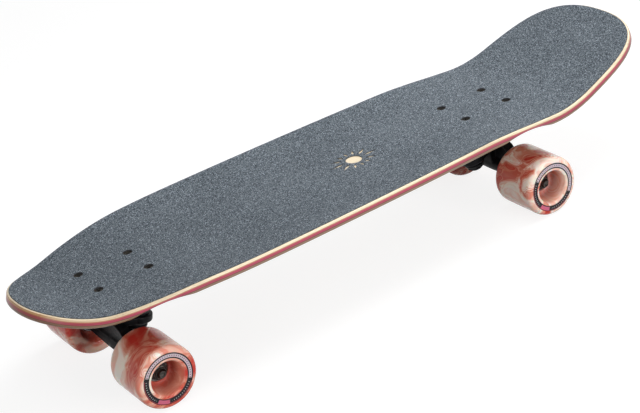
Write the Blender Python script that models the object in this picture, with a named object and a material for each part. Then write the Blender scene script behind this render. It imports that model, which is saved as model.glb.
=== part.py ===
"""Cruiser skateboard: a kicked maple deck with grip tape on two sprung trucks and four wide soft wheels.

Run it with blender --background --python part.py. Units are metres: +X is the nose, +Y the left side and
+Z up. The origin is on the floor, below the middle of the deck's length. A truck is modelled in its own
frame, in which +X points outwards, to its own end of the deck, and the rear truck is the front one turned
half round.
"""

import math

import bmesh
import bpy
from mathutils import Matrix, Vector

# Gap kept between pieces that touch
GAP = 0.0003

# Deck, seen from above, with lengths taken on its top face
WHEELBASE = 0.4368
NOSE_OVERHANG = 0.1019
TAIL_OVERHANG = 0.1841
DECK_HALF_WIDTH = 0.1006
WIDEST_AHEAD_OF_MIDDLE = 0.075
NOSE_POWER = 2.68
NOSE_ROOT = 2.195
TAIL_TAPER = 0.0008
TAIL_TAPER_CURVE = 0.0875
TAIL_END_LENGTH = 0.1464
TAIL_POWER = 5.55
TAIL_ROOT = 2.39

# Deck, seen from the side
GRIP_THICKNESS = 0.0009
DECK_THICKNESS = 0.0095
NOSE_KICK_START = 0.0365
NOSE_KICK_ANGLE = math.radians(19.4)
NOSE_KICK_RADIUS = 0.135
TAIL_KICK_START = 0.0356
TAIL_KICK_ANGLE = math.radians(18.6)
TAIL_KICK_RADIUS = 0.1545
CONCAVE_RISE = 0.0067
CONCAVE_FADE = 0.0590
CONCAVE_FADE_MIDDLE = 0.0017
FLAT_HALF_WIDTH = 0.030
WELL_RADIUS = 0.118
WELL_DEPTH = 0.0028
WELL_TILT = math.radians(7.0)
WELL_INSET = 0.0095
DECK_ROWS = 32
FLAT_COLUMNS = 2
RAIL_COLUMNS = 4

# Sunburst cut through the grip tape
SUN_BEHIND_MIDDLE = 0.063
SUN_DISC_RADIUS = 0.0085
SUN_RAY_START = 0.0115
SUN_HALF_LENGTH = 0.030
SUN_HALF_WIDTH = 0.019
SUN_RAYS = 12
SUN_RAY_HALF_WIDTH = 0.0016

# Deck bolts and their pattern
BOLT_SPACING_X = 0.05398
BOLT_SPACING_Y = 0.0413
BOLT_RADIUS = 0.0023
BOLT_CLEARANCE = 0.0005
BOLT_HEAD_RADIUS = 0.0046
BOLT_HEAD_DEPTH = 0.0026
BOLT_HEAD_SINK = 0.0002
BOLT_TAIL = 0.0012
LOCK_NUT_RADIUS = 0.0055
LOCK_NUT_HEIGHT = 0.0050
NUT_SPOT_MARGIN = 0.0005

# Riser and baseplate
RISER_THICKNESS = 0.0060
RISER_MARGIN = 0.0005
PLATE_ABOVE_AXLE = 0.0542
PLATE_END_MARGIN = 0.01501
PLATE_SIDE_MARGIN = 0.00775
PLATE_THICKNESS = 0.0045
PLATE_CORNER = 0.008
BOSS_RADIUS = 0.0135
HOUSING_RADIUS = 0.0108
HOUSING_BACK = 0.0105
RIB_HALF_WIDTH = 0.0040
RIB_DEPTH = 0.0060
RIB_END_INSET = 0.0120

# Wheels and axle
AXLE_OFFSET = 0.0135
WHEEL_RADIUS = 0.0315
WHEEL_OUTER_HALF = 0.0332
WHEEL_INNER_HALF = 0.0240
WHEEL_LIP_DEPTH = 0.0066
WHEEL_LIP_WIDTH = 0.0053
WHEEL_LIP_CORNER = (0.60, 0.25)
WHEEL_CUP_RADIUS = 0.0176
WHEEL_CUP_CHAMFER = 0.0006
HUB_FROM_MIDDLE = 0.0660
AXLE_RADIUS = 0.0040
AXLE_CHAMFER = 0.0006
AXLE_PAST_NUT = 0.0025
BEARING_OUTER_RADIUS = 0.0110
BEARING_WIDTH = 0.0070
BEARING_SHELF = 0.0020
SPACER_LENGTH = 0.0094
SPACER_RADIUS = 0.0055
SPEED_RING_THICKNESS = 0.0008
SPEED_RING_RADIUS = 0.0065
AXLE_NUT_HEIGHT = 0.0065
AXLE_NUT_RADIUS = 0.0073
AXLE_WASHER_THICKNESS = 0.0012
AXLE_WASHER_RADIUS = 0.0066

# Hanger, in the truck's own frame
RING_X = -0.0118
RING_ABOVE_AXLE = 0.0161
RING_RADIUS = 0.0157
RING_THICKNESS = 0.0072
RING_HOLE_RADIUS = 0.0075
RING_SEAT_DEPTH = 0.0022
RING_SEAT_RADIUS = 0.0116
TUBE_RADIUS_MIDDLE = 0.0090
TUBE_RADIUS_END = 0.0073
ARM_HALF_WIDTH = 0.0125
ARM_TRIM = 0.0002
WEB_HALF_THICKNESS = 0.0038
WEB_LEAN = 0.0030
WEB_END_INSET = 0.0036
WEB_END_LOW = 0.0045
WEB_END_HIGH = 0.0085
WEB_SHOULDERS = ((0.028, 0.0260), (0.010, 0.0320))
GUSSET_HALF_WIDTH = 0.0110
GUSSET_INSET = 0.0005
GUSSET_DROP = 0.0010
STEM_START = 0.0230
STEM_RADIUS = 0.0070
PIVOT_REACH = 0.0472
PIVOT_PIN_RADIUS = 0.0058
PIVOT_PIN_LENGTH = 0.0130
STEER_ANGLE = math.radians(36.0)

# Pivot cup
CUP_WALL = 0.0020
CUP_LENGTH = 0.0134

# Kingpin stack, measured along the kingpin from the ring's middle
KINGPIN_LEAN = math.radians(15.0)
KINGPIN_RADIUS = 0.0049
BOARD_BUSHING_HEIGHT = 0.0114
BOARD_BUSHING_RADIUS = 0.0122
ROAD_BUSHING_HEIGHT = 0.0066
ROAD_BUSHING_RADIUS = 0.0112
ROAD_BUSHING_TIP_RADIUS = 0.0098
BOARD_WASHER_RADIUS = 0.0128
ROAD_WASHER_RADIUS = 0.0110
WASHER_THICKNESS = 0.0014
KINGPIN_NUT_HEIGHT = 0.0050
KINGPIN_NUT_RADIUS = 0.0098
KINGPIN_TAIL = 0.0008
KINGPIN_HEAD_RADIUS = 0.0092
KINGPIN_HEAD_HEIGHT = 0.0052
KINGPIN_HEAD_COVER = 0.0009

# Facets round a turned piece, each divisible by four
COARSE = 12
MEDIUM = 16
FINE = 24
WHEEL_FACETS = 32

# Angle above which an edge stays sharp, how far a cutter runs past a face, and how far joined shapes overlap
SHARP_ANGLE = math.radians(35)
CUTTER_MARGIN = 0.003
SEAT_MARGIN = 0.001
JOIN_OVERLAP = 0.001
TRUCK_ROOM = 0.200

# Worked out from the sizes above: heights first, from the axle up
RING_Z = WHEEL_RADIUS + RING_ABOVE_AXLE
PLATE_TOP = WHEEL_RADIUS + PLATE_ABOVE_AXLE
PLATE_BOTTOM = PLATE_TOP - PLATE_THICKNESS
RISER_BOTTOM = PLATE_TOP + GAP
RISER_TOP = RISER_BOTTOM + RISER_THICKNESS
DECK_BOTTOM = RISER_TOP + GAP
DECK_TOP = DECK_BOTTOM + DECK_THICKNESS
TOP_HEIGHT = DECK_TOP + GAP + GRIP_THICKNESS
PLATE_LENGTH = BOLT_SPACING_X + 2 * PLATE_END_MARGIN
PLATE_WIDTH = BOLT_SPACING_Y + 2 * PLATE_SIDE_MARGIN
WHEEL_FLAT_RADIUS = WHEEL_RADIUS - WHEEL_LIP_WIDTH
WHOLE_THICKNESS = TOP_HEIGHT - DECK_BOTTOM
FRONT_REACH = WHEELBASE / 2 + NOSE_OVERHANG + WHOLE_THICKNESS * math.sin(NOSE_KICK_ANGLE)
REAR_REACH = WHEELBASE / 2 + TAIL_OVERHANG + WHOLE_THICKNESS * math.sin(TAIL_KICK_ANGLE)
MIDDLE_X = (REAR_REACH - FRONT_REACH) / 2
RING_CENTRE = Vector((RING_X, 0, RING_Z))
STEER_AXIS = Vector((math.cos(STEER_ANGLE), 0, math.sin(STEER_ANGLE)))
KINGPIN_UP = Vector((-math.sin(KINGPIN_LEAN), 0, math.cos(KINGPIN_LEAN)))
BEARING_INNER_END = HUB_FROM_MIDDLE - SPACER_LENGTH / 2 - GAP - BEARING_WIDTH
TUBE_HALF_LENGTH = BEARING_INNER_END - SPEED_RING_THICKNESS - 2 * GAP
NUT_SEAT = SPACER_LENGTH / 2 + BEARING_WIDTH + 2 * GAP
AXLE_HALF_LENGTH = HUB_FROM_MIDDLE + NUT_SEAT + AXLE_WASHER_THICKNESS + AXLE_NUT_HEIGHT + AXLE_PAST_NUT
BOLT_HOLE_RADIUS = BOLT_RADIUS + BOLT_CLEARANCE


def clear_scene():
    for old in list(bpy.data.objects):
        bpy.data.objects.remove(old, do_unlink=True)


def material(name, colour, roughness, metallic=0.0):
    made = bpy.data.materials.new(name)
    made.use_nodes = True
    shader = made.node_tree.nodes["Principled BSDF"]
    shader.inputs["Base Color"].default_value = (*colour, 1.0)
    shader.inputs["Roughness"].default_value = roughness
    shader.inputs["Metallic"].default_value = metallic
    return made


def mesh_object(name, bm, surface=None):
    """A scene object from a bmesh, with its faces turned outwards and its round faces shaded smooth."""
    bmesh.ops.recalc_face_normals(bm, faces=bm.faces)
    mesh = bpy.data.meshes.new(name)
    bm.to_mesh(mesh)
    bm.free()
    mesh.shade_smooth()
    mesh.set_sharp_from_angle(angle=SHARP_ANGLE)
    obj = bpy.data.objects.new(name, mesh)
    if surface:
        mesh.materials.append(surface)
    bpy.context.scene.collection.objects.link(obj)
    return obj


def copy_of(source, name):
    """Another object that shares the source's mesh."""
    made = bpy.data.objects.new(name, source.data)
    bpy.context.scene.collection.objects.link(made)
    return made


def empty(name, parent=None, location=(0, 0, 0), turn=0.0):
    made = bpy.data.objects.new(name, None)
    bpy.context.scene.collection.objects.link(made)
    made.location = location
    made.rotation_euler = (0, 0, turn)
    made.parent = parent
    return made


def turned(profile, facets, round_outside=True):
    """A bmesh turned about Z from a closed profile of (radius, height) points.

    With round_outside the corners of each ring lie on its radius. Otherwise the flats do, and one flat faces
    each way along X and Y.
    """
    bm = bmesh.new()
    step = 2 * math.pi / facets
    grow = 1.0 if round_outside else 1 / math.cos(step / 2)
    start = 0.0 if round_outside else step / 2
    rings = []
    for radius, height in profile:
        if radius == 0:
            rings.append([bm.verts.new((0, 0, height))])
            continue
        angles = [start + step * i for i in range(facets)]
        reach = radius * grow
        rings.append([bm.verts.new((reach * math.cos(a), reach * math.sin(a), height)) for a in angles])
    for ring, after in zip(rings, rings[1:] + rings[:1]):
        for i in range(facets):
            j = (i + 1) % facets
            corners = [ring[i % len(ring)], ring[j % len(ring)], after[j % len(after)], after[i % len(after)]]
            distinct = list(dict.fromkeys(corners))
            if len(distinct) > 2:
                bm.faces.new(distinct)
    return bm


def tube_profile(inner, outer, low, high):
    return [(inner, low), (outer, low), (outer, high), (inner, high)]


def rod_profile(radius, low, high, chamfer=0.0):
    if not chamfer:
        return [(0, low), (radius, low), (radius, high), (0, high)]
    slim = radius - chamfer
    return [(0, low), (slim, low), (radius, low + chamfer), (radius, high - chamfer), (slim, high), (0, high)]


def prism(outline, low, high):
    """A bmesh that extrudes an outline of (x, y) points from one height to another."""
    bm = bmesh.new()
    base = bm.faces.new([bm.verts.new((x, y, low)) for x, y in outline])
    grown = bmesh.ops.extrude_face_region(bm, geom=[base])
    moved = [item for item in grown["geom"] if isinstance(item, bmesh.types.BMVert)]
    bmesh.ops.translate(bm, verts=moved, vec=(0, 0, high - low))
    return bm


def rounded_rectangle(length, width, corner, steps=3):
    """Corner points of a rectangle about the origin, with each corner a quarter circle."""
    points = []
    for quarter in range(4):
        sign_x = 1 if quarter in (0, 3) else -1
        sign_y = 1 if quarter in (0, 1) else -1
        centre = Vector((sign_x * (length / 2 - corner), sign_y * (width / 2 - corner)))
        for step in range(steps + 1):
            angle = math.pi / 2 * (quarter + step / steps)
            points.append(centre + corner * Vector((math.cos(angle), math.sin(angle))))
    return points


def hexagon(radius):
    return [(radius * math.cos(math.pi / 3 * i), radius * math.sin(math.pi / 3 * i)) for i in range(6)]


def frame_along(direction, origin=Vector((0, 0, 0))):
    """The matrix that lays local Z along a direction in the XZ plane or along Y, from an origin."""
    return Matrix.Translation(origin) @ Vector((0, 0, 1)).rotation_difference(direction).to_matrix().to_4x4()


def shaped(bm, matrix):
    bm.transform(matrix)
    return bm


def combined(target, operation, *tools):
    """Joins or cuts the target by each bmesh in turn, and leaves its mesh with the result."""
    for tool in tools:
        helper = mesh_object("helper", tool)
        helper.hide_render = True
        helper.display_type = "WIRE"
        step = target.modifiers.new("step", "BOOLEAN")
        step.operation = operation
        step.solver = "EXACT"
        step.object = helper
        graph = bpy.context.evaluated_depsgraph_get()
        result = bpy.data.meshes.new_from_object(target.evaluated_get(graph))
        target.modifiers.clear()
        target.data = result
        bpy.data.objects.remove(helper, do_unlink=True)
    target.data.shade_smooth()
    target.data.set_sharp_from_angle(angle=SHARP_ANGLE)
    return target


def half_width(x):
    """Half the deck's width at a distance ahead of the wheelbase's middle."""
    if x > WIDEST_AHEAD_OF_MIDDLE:
        tip = WHEELBASE / 2 + NOSE_OVERHANG
        share = min(1.0, (x - WIDEST_AHEAD_OF_MIDDLE) / (tip - WIDEST_AHEAD_OF_MIDDLE))
        return DECK_HALF_WIDTH * (1 - share**NOSE_POWER) ** (1 / NOSE_ROOT)
    back = WIDEST_AHEAD_OF_MIDDLE - x
    width = DECK_HALF_WIDTH - TAIL_TAPER * back - TAIL_TAPER_CURVE * back**2
    end_start = WHEELBASE / 2 + TAIL_OVERHANG - TAIL_END_LENGTH
    share = min(1.0, max(0.0, (-x - end_start) / TAIL_END_LENGTH))
    return width * (1 - share**TAIL_POWER) ** (1 / TAIL_ROOT)


def kick(beyond, angle, radius):
    """Height and slope of a kick at a distance beyond its start: an arc, then a straight run."""
    if beyond <= 0:
        return 0.0, 0.0
    arc = radius * math.sin(angle)
    if beyond < arc:
        return radius - math.sqrt(radius**2 - beyond**2), beyond / math.sqrt(radius**2 - beyond**2)
    return radius * (1 - math.cos(angle)) + (beyond - arc) * math.tan(angle), math.tan(angle)


def spine(x):
    """Rise and slope of the deck's centreline at a distance ahead of the wheelbase's middle."""
    if x > 0:
        return kick(x - WHEELBASE / 2 - NOSE_KICK_START, NOSE_KICK_ANGLE, NOSE_KICK_RADIUS)
    rise, slope = kick(-x - WHEELBASE / 2 - TAIL_KICK_START, TAIL_KICK_ANGLE, TAIL_KICK_RADIUS)
    return rise, -slope


def concave(x, y, width):
    """How far the deck's face rises from its flat middle strip towards a rail."""
    flat = min(FLAT_HALF_WIDTH, width / 2)
    if abs(y) <= flat:
        return 0.0
    share = (abs(x) - WHEELBASE / 2 - CONCAVE_FADE_MIDDLE + CONCAVE_FADE) / (2 * CONCAVE_FADE)
    share = min(1.0, max(0.0, share))
    fade = 1 - share**2 * (3 - 2 * share)
    return CONCAVE_RISE * fade * ((abs(y) - flat) / (width - flat)) ** 2


def deck_point(x, y, width, depth):
    """A point at a depth below the board's top face, in the part's frame."""
    rise, slope = spine(x)
    length = math.hypot(1, slope)
    z = TOP_HEIGHT + rise + concave(x, y, width)
    return Vector((MIDDLE_X + x + depth * slope / length, y, z - depth / length))


def across(width):
    """The places of a row's points from the right rail to the left one."""
    flat = min(FLAT_HALF_WIDTH, width / 2)
    inner = [flat * i / FLAT_COLUMNS for i in range(FLAT_COLUMNS + 1)]
    outer = [flat + (width - flat) * i / RAIL_COLUMNS for i in range(1, RAIL_COLUMNS + 1)]
    side = inner + outer
    return [-y for y in reversed(side[1:])] + side


def board_layer(top_depth, bottom_depth):
    """A bmesh of the board's outline between two depths below its top face."""
    bm = bmesh.new()
    nose = WHEELBASE / 2 + NOSE_OVERHANG
    tail = -WHEELBASE / 2 - TAIL_OVERHANG
    middle, half = (nose + tail) / 2, (nose - tail) / 2
    sheets = []
    for depth in (top_depth, bottom_depth):
        rows = []
        for i in range(DECK_ROWS + 1):
            x = middle + half * math.sin(math.pi * (i / DECK_ROWS - 0.5))
            width = half_width(x)
            ends = i in (0, DECK_ROWS)
            places = [0.0] if ends else across(width)
            rows.append([bm.verts.new(deck_point(x, y, width, depth)) for y in places])
        sheets.append(rows)
    for rows in sheets:
        for row, after in zip(rows, rows[1:]):
            longer = max(len(row), len(after))
            for i in range(longer - 1):
                corners = [row[min(i, len(row) - 1)], row[min(i + 1, len(row) - 1)]]
                corners += [after[min(i + 1, len(after) - 1)], after[min(i, len(after) - 1)]]
                bm.faces.new(list(dict.fromkeys(corners)))
    for side in (0, -1):
        edges = [[row[side] for row in rows] for rows in sheets]
        for i in range(DECK_ROWS):
            bm.faces.new([edges[0][i], edges[0][i + 1], edges[1][i + 1], edges[1][i]])
    return bm


def joined(*parts):
    """One bmesh that holds separate closed shapes, for use as a cutter."""
    bm = bmesh.new()
    for part in parts:
        mesh = bpy.data.meshes.new("part")
        bmesh.ops.recalc_face_normals(part, faces=part.faces)
        part.to_mesh(mesh)
        part.free()
        bm.from_mesh(mesh)
        bpy.data.meshes.remove(mesh)
    return bm


def bolt_places():
    """The eight deck bolts' places, each with the name of its truck and its corner."""
    for truck, sign in (("front", 1), ("rear", -1)):
        for end, along in (("outer", 1), ("inner", -1)):
            for side, left in (("left", 1), ("right", -1)):
                x = MIDDLE_X + sign * (WHEELBASE / 2 + along * BOLT_SPACING_X / 2)
                yield f"{truck}_{end}_{side}", Vector((x, left * BOLT_SPACING_Y / 2, 0))


def holes(radius, low, high):
    """Cutters through the whole board at each deck bolt."""
    made = []
    for _, place in bolt_places():
        made.append(shaped(turned(rod_profile(radius, low, high), MEDIUM, False), Matrix.Translation(place)))
    return joined(*made)


def deck(surface):
    obj = mesh_object("deck", board_layer(GRIP_THICKNESS + GAP, WHOLE_THICKNESS), surface)
    low, high = DECK_BOTTOM - CUTTER_MARGIN, DECK_TOP + CUTTER_MARGIN
    sink_radius = BOLT_HEAD_RADIUS + GAP
    sink_bottom = DECK_TOP - BOLT_HEAD_SINK - BOLT_HEAD_DEPTH
    overshoot = sink_radius - BOLT_HOLE_RADIUS
    sinks = []
    for _, place in bolt_places():
        cone = [
            (0, sink_bottom),
            (BOLT_HOLE_RADIUS, sink_bottom),
            (sink_radius + GAP, DECK_TOP - BOLT_HEAD_SINK),
            (sink_radius + overshoot / 2, high),
            (0, high),
        ]
        sinks.append(shaped(turned(cone, MEDIUM, False), Matrix.Translation(place)))
    wells = []
    for sign in (1, -1):
        for side in (1, -1):
            x = sign * (WHEELBASE / 2 - WELL_INSET)
            width = half_width(x)
            rail = deck_point(x, side * width, width, WHOLE_THICKNESS)
            axis = Vector((0, side * math.cos(WELL_TILT), math.sin(WELL_TILT)))
            centre = rail + Vector((0, 0, WELL_DEPTH - WELL_RADIUS))
            roller = turned(rod_profile(WELL_RADIUS, -width, width / 4), 4 * MEDIUM)
            wells.append(shaped(roller, frame_along(axis, centre)))
    combined(obj, "DIFFERENCE", *wells)
    return combined(obj, "DIFFERENCE", holes(BOLT_HOLE_RADIUS, low, high), joined(*sinks))


def sun_ray(angle):
    """A slim kite from the sun's disc out to the ellipse that bounds the sunburst."""
    reach = 1 / math.hypot(math.cos(angle) / SUN_HALF_LENGTH, math.sin(angle) / SUN_HALF_WIDTH)
    waist = SUN_RAY_START + (reach - SUN_RAY_START) / 3
    outward = Vector((math.cos(angle), math.sin(angle)))
    aside = Vector((-outward.y, outward.x)) * SUN_RAY_HALF_WIDTH
    return [outward * SUN_RAY_START, outward * waist - aside, outward * reach, outward * waist + aside]


def grip_tape(surface):
    obj = mesh_object("grip_tape", board_layer(0, GRIP_THICKNESS), surface)
    low, high = TOP_HEIGHT - GRIP_THICKNESS - SEAT_MARGIN, TOP_HEIGHT + SEAT_MARGIN
    place = Matrix.Translation((MIDDLE_X - SUN_BEHIND_MIDDLE, 0, 0))
    sun = [shaped(turned(rod_profile(SUN_DISC_RADIUS, low, high), FINE), place)]
    for i in range(SUN_RAYS):
        sun.append(shaped(prism(sun_ray(2 * math.pi * i / SUN_RAYS), low, high), place))
    return combined(obj, "DIFFERENCE", holes(BOLT_HEAD_RADIUS + 2 * GAP, low, high), joined(*sun))


def deck_hardware(surface):
    """A countersunk bolt and a lock nut in each hole of the deck."""
    head_top = DECK_TOP - BOLT_HEAD_SINK
    nut_top = PLATE_BOTTOM - GAP
    tail = nut_top - LOCK_NUT_HEIGHT - BOLT_TAIL
    shank = [(0, tail), (BOLT_RADIUS, tail), (BOLT_RADIUS, head_top - BOLT_HEAD_DEPTH + GAP)]
    head = [(BOLT_HEAD_RADIUS, head_top), (0, head_top)]
    bolt_mesh = mesh_object("bolt", turned(shank + head, COARSE), surface)
    hexagonal = prism(hexagon(LOCK_NUT_RADIUS), nut_top - LOCK_NUT_HEIGHT, nut_top)
    nut_mesh = mesh_object("nut", hexagonal, surface)
    bore = turned(rod_profile(BOLT_RADIUS + GAP, tail, DECK_TOP), COARSE, False)
    combined(nut_mesh, "DIFFERENCE", bore)
    for name, place in bolt_places():
        copy_of(bolt_mesh, f"deck_bolt_{name}").location = place
        copy_of(nut_mesh, f"lock_nut_{name}").location = place
    bpy.data.objects.remove(bolt_mesh)
    bpy.data.objects.remove(nut_mesh)


def truck_bolt_holes(radius, low, high):
    made = []
    for x in (-BOLT_SPACING_X / 2, BOLT_SPACING_X / 2):
        for y in (-BOLT_SPACING_Y / 2, BOLT_SPACING_Y / 2):
            drill = turned(rod_profile(radius, low, high), COARSE, False)
            made.append(shaped(drill, Matrix.Translation((x, y, 0))))
    return joined(*made)


def riser(surface):
    outline = rounded_rectangle(PLATE_LENGTH + 2 * RISER_MARGIN, PLATE_WIDTH + 2 * RISER_MARGIN, PLATE_CORNER)
    obj = mesh_object("riser", prism(outline, RISER_BOTTOM, RISER_TOP), surface)
    drills = truck_bolt_holes(BOLT_HOLE_RADIUS, RISER_BOTTOM - CUTTER_MARGIN, RISER_TOP + CUTTER_MARGIN)
    return combined(obj, "DIFFERENCE", drills)


def stack_heights():
    """Heights along the kingpin from the ring's middle: where each piece of the stack starts and ends."""
    seat = RING_THICKNESS / 2 - RING_SEAT_DEPTH + GAP
    up = seat + BOARD_BUSHING_HEIGHT
    down = -seat - ROAD_BUSHING_HEIGHT
    boss = up + WASHER_THICKNESS + 2 * GAP
    nut = down - WASHER_THICKNESS - 2 * GAP
    return {
        "board_bushing": (seat, up),
        "board_washer": (up + GAP, up + GAP + WASHER_THICKNESS),
        "boss": boss,
        "road_bushing": (down, -seat),
        "road_washer": (down - GAP - WASHER_THICKNESS, down - GAP),
        "nut": (nut - KINGPIN_NUT_HEIGHT, nut),
        "tail": nut - KINGPIN_NUT_HEIGHT - KINGPIN_TAIL,
    }


def kingpin_head_seat():
    """Height along the kingpin of the head's seat. The head's highest corner stays below the plate's top."""
    corner = KINGPIN_HEAD_RADIUS * math.sin(KINGPIN_LEAN)
    top = (PLATE_TOP - KINGPIN_HEAD_COVER - corner - RING_Z) / math.cos(KINGPIN_LEAN)
    return top - KINGPIN_HEAD_HEIGHT


def cup_ends():
    """Where the pivot cup starts and ends along the steering axis, from the ring's middle."""
    end = PIVOT_REACH + GAP + CUP_WALL
    return end - CUP_LENGTH, end


def baseplate(surface):
    """A flat plate with a boss for the kingpin, a housing for the pivot cup and a rib that ties them.

    With a narrow bolt pattern the lock nuts' spots cut into the boss, which gives the nuts room.
    """
    outline = rounded_rectangle(PLATE_LENGTH, PLATE_WIDTH, PLATE_CORNER)
    obj = mesh_object("baseplate", prism(outline, PLATE_BOTTOM, PLATE_TOP), surface)
    heights = stack_heights()
    along_kingpin = frame_along(KINGPIN_UP, RING_CENTRE)
    along_steer = frame_along(STEER_AXIS, RING_CENTRE)
    mouth, end = cup_ends()
    boss_end = (PLATE_TOP - RING_Z) / math.cos(KINGPIN_LEAN) + BOSS_RADIUS
    boss = shaped(turned(rod_profile(BOSS_RADIUS, heights["boss"], boss_end), FINE), along_kingpin)
    housing = shaped(turned(rod_profile(HOUSING_RADIUS, mouth, end + HOUSING_BACK), FINE), along_steer)
    heel = (RING_CENTRE + KINGPIN_UP * heights["boss"]).x
    toe = PLATE_LENGTH / 2 - RIB_END_INSET
    half = RIB_HALF_WIDTH
    rib_outline = [(heel, -half), (toe, -half), (toe, half), (heel, half)]
    rib = prism(rib_outline, PLATE_BOTTOM - RIB_DEPTH, PLATE_BOTTOM + JOIN_OVERLAP)
    combined(obj, "UNION", boss, housing, rib)
    room = TRUCK_ROOM
    above = prism([(-room, -room), (room, -room), (room, room), (-room, room)], PLATE_TOP, PLATE_TOP + room)
    seat = kingpin_head_seat()
    bore = turned(rod_profile(KINGPIN_RADIUS + GAP, 0, room), MEDIUM, False)
    recess = turned(rod_profile(KINGPIN_HEAD_RADIUS + GAP, seat - GAP, room), FINE, False)
    cup_outer = PIVOT_PIN_RADIUS + GAP + CUP_WALL + GAP
    socket = turned(rod_profile(cup_outer, 0, end + GAP), FINE, False)
    return combined(
        obj,
        "DIFFERENCE",
        above,
        shaped(bore, along_kingpin),
        shaped(recess, along_kingpin),
        shaped(socket, along_steer),
        truck_bolt_holes(BOLT_HOLE_RADIUS, PLATE_BOTTOM - room, PLATE_TOP + CUTTER_MARGIN),
        truck_bolt_holes(LOCK_NUT_RADIUS + NUT_SPOT_MARGIN, PLATE_BOTTOM - room, PLATE_BOTTOM - GAP / 2),
    )


def pivot_cup(surface):
    mouth, end = cup_ends()
    inner = PIVOT_PIN_RADIUS + GAP
    outer = inner + CUP_WALL
    floor = PIVOT_REACH + GAP
    profile = [(0, floor), (inner, floor), (inner, mouth), (outer, mouth), (outer, end), (0, end)]
    return mesh_object("pivot_cup", turned(profile, MEDIUM), surface)


def kingpin(surface):
    seat = kingpin_head_seat()
    tail = stack_heights()["tail"]
    shank = turned(rod_profile(KINGPIN_RADIUS, tail, seat + JOIN_OVERLAP), MEDIUM)
    obj = mesh_object("kingpin", shank, surface)
    return combined(obj, "UNION", prism(hexagon(KINGPIN_HEAD_RADIUS), seat, seat + KINGPIN_HEAD_HEIGHT))


def kingpin_nut(surface):
    low, high = stack_heights()["nut"]
    obj = mesh_object("kingpin_nut", prism(hexagon(KINGPIN_NUT_RADIUS), low, high), surface)
    drill = rod_profile(KINGPIN_RADIUS + GAP, low - CUTTER_MARGIN, high + CUTTER_MARGIN)
    return combined(obj, "DIFFERENCE", turned(drill, MEDIUM, False))


def stack_ring(name, span, radii, surface, facets=FINE):
    """A ring round the kingpin whose outside runs through evenly spaced radii from its low end upwards."""
    low, high = span
    bore = KINGPIN_RADIUS + GAP
    outside = [(radius, low + (high - low) * i / (len(radii) - 1)) for i, radius in enumerate(radii)]
    return mesh_object(name, turned([(bore, low), *outside, (bore, high)], facets), surface)


def hanger(surface):
    """The cast arm: an axle tube with a web, the bushing ring on an arm and a gusset, and the pivot pin."""
    end, middle = TUBE_RADIUS_END, TUBE_RADIUS_MIDDLE
    half = TUBE_HALF_LENGTH
    axle_middle = Vector((AXLE_OFFSET, 0, WHEEL_RADIUS))
    along_axle = frame_along(Vector((0, 1, 0)), axle_middle)
    along_kingpin = frame_along(KINGPIN_UP, RING_CENTRE)
    along_steer = frame_along(STEER_AXIS, RING_CENTRE)
    tube = turned([(0, -half), (end, -half), (middle, 0), (end, half), (0, half)], FINE)
    obj = mesh_object("hanger", shaped(tube, along_axle), surface)
    web_end = half - WEB_END_INSET
    side = [(web_end, WEB_END_LOW), (web_end, WEB_END_HIGH), *WEB_SHOULDERS]
    web_outline = side + [(-y, height) for y, height in reversed(side)]
    web = prism(web_outline, -WEB_HALF_THICKNESS, WEB_HALF_THICKNESS)
    web.transform(Matrix(((0, 0, 1, 0), (1, 0, 0, 0), (0, 1, 0, 0), (0, 0, 0, 1))))
    web_height = max(height for _, height in side)
    for vert in web.verts:
        vert.co.x += AXLE_OFFSET + WEB_LEAN * vert.co.z / web_height
        vert.co.z += WHEEL_RADIUS
    thick = RING_THICKNESS / 2
    ring = shaped(turned(rod_profile(RING_RADIUS, -thick, thick), FINE), along_kingpin)
    reach = (AXLE_OFFSET - RING_X) / math.cos(KINGPIN_LEAN)
    wide = ARM_HALF_WIDTH
    arm_outline = [(0, -wide), (reach, -wide), (reach, wide), (0, wide)]
    arm = shaped(prism(arm_outline, ARM_TRIM - thick, thick - ARM_TRIM), along_kingpin)
    back = AXLE_OFFSET - middle + GUSSET_INSET
    gusset_outline = [(back, WHEEL_RADIUS), (AXLE_OFFSET, WHEEL_RADIUS)]
    for x in (AXLE_OFFSET, back):
        gusset_outline.append((x, RING_Z + (x - RING_X) * math.tan(KINGPIN_LEAN) - GUSSET_DROP))
    gusset = prism(gusset_outline, -GUSSET_HALF_WIDTH, GUSSET_HALF_WIDTH)
    gusset.transform(Matrix(((1, 0, 0, 0), (0, 0, 1, 0), (0, 1, 0, 0), (0, 0, 0, 1))))
    root = PIVOT_REACH - PIVOT_PIN_LENGTH
    tip = PIVOT_PIN_RADIUS / 2
    stem = [
        (0, STEM_START),
        (STEM_RADIUS, STEM_START),
        (PIVOT_PIN_RADIUS, root),
        (PIVOT_PIN_RADIUS, PIVOT_REACH - tip),
        (tip, PIVOT_REACH),
        (0, PIVOT_REACH),
    ]
    combined(obj, "UNION", web, ring, arm, gusset, shaped(turned(stem, MEDIUM), along_steer))
    hole = turned(rod_profile(RING_HOLE_RADIUS, -thick - CUTTER_MARGIN, thick + CUTTER_MARGIN), FINE, False)
    floor, mouth = thick - RING_SEAT_DEPTH, thick + SEAT_MARGIN
    seats = []
    for low, high in ((floor, mouth), (-mouth, -floor)):
        seats.append(shaped(turned(rod_profile(RING_SEAT_RADIUS, low, high), FINE, False), along_kingpin))
    bore = turned(rod_profile(AXLE_RADIUS + GAP, -half - CUTTER_MARGIN, half + CUTTER_MARGIN), MEDIUM, False)
    return combined(obj, "DIFFERENCE", shaped(hole, along_kingpin), *seats, shaped(bore, along_axle))


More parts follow.
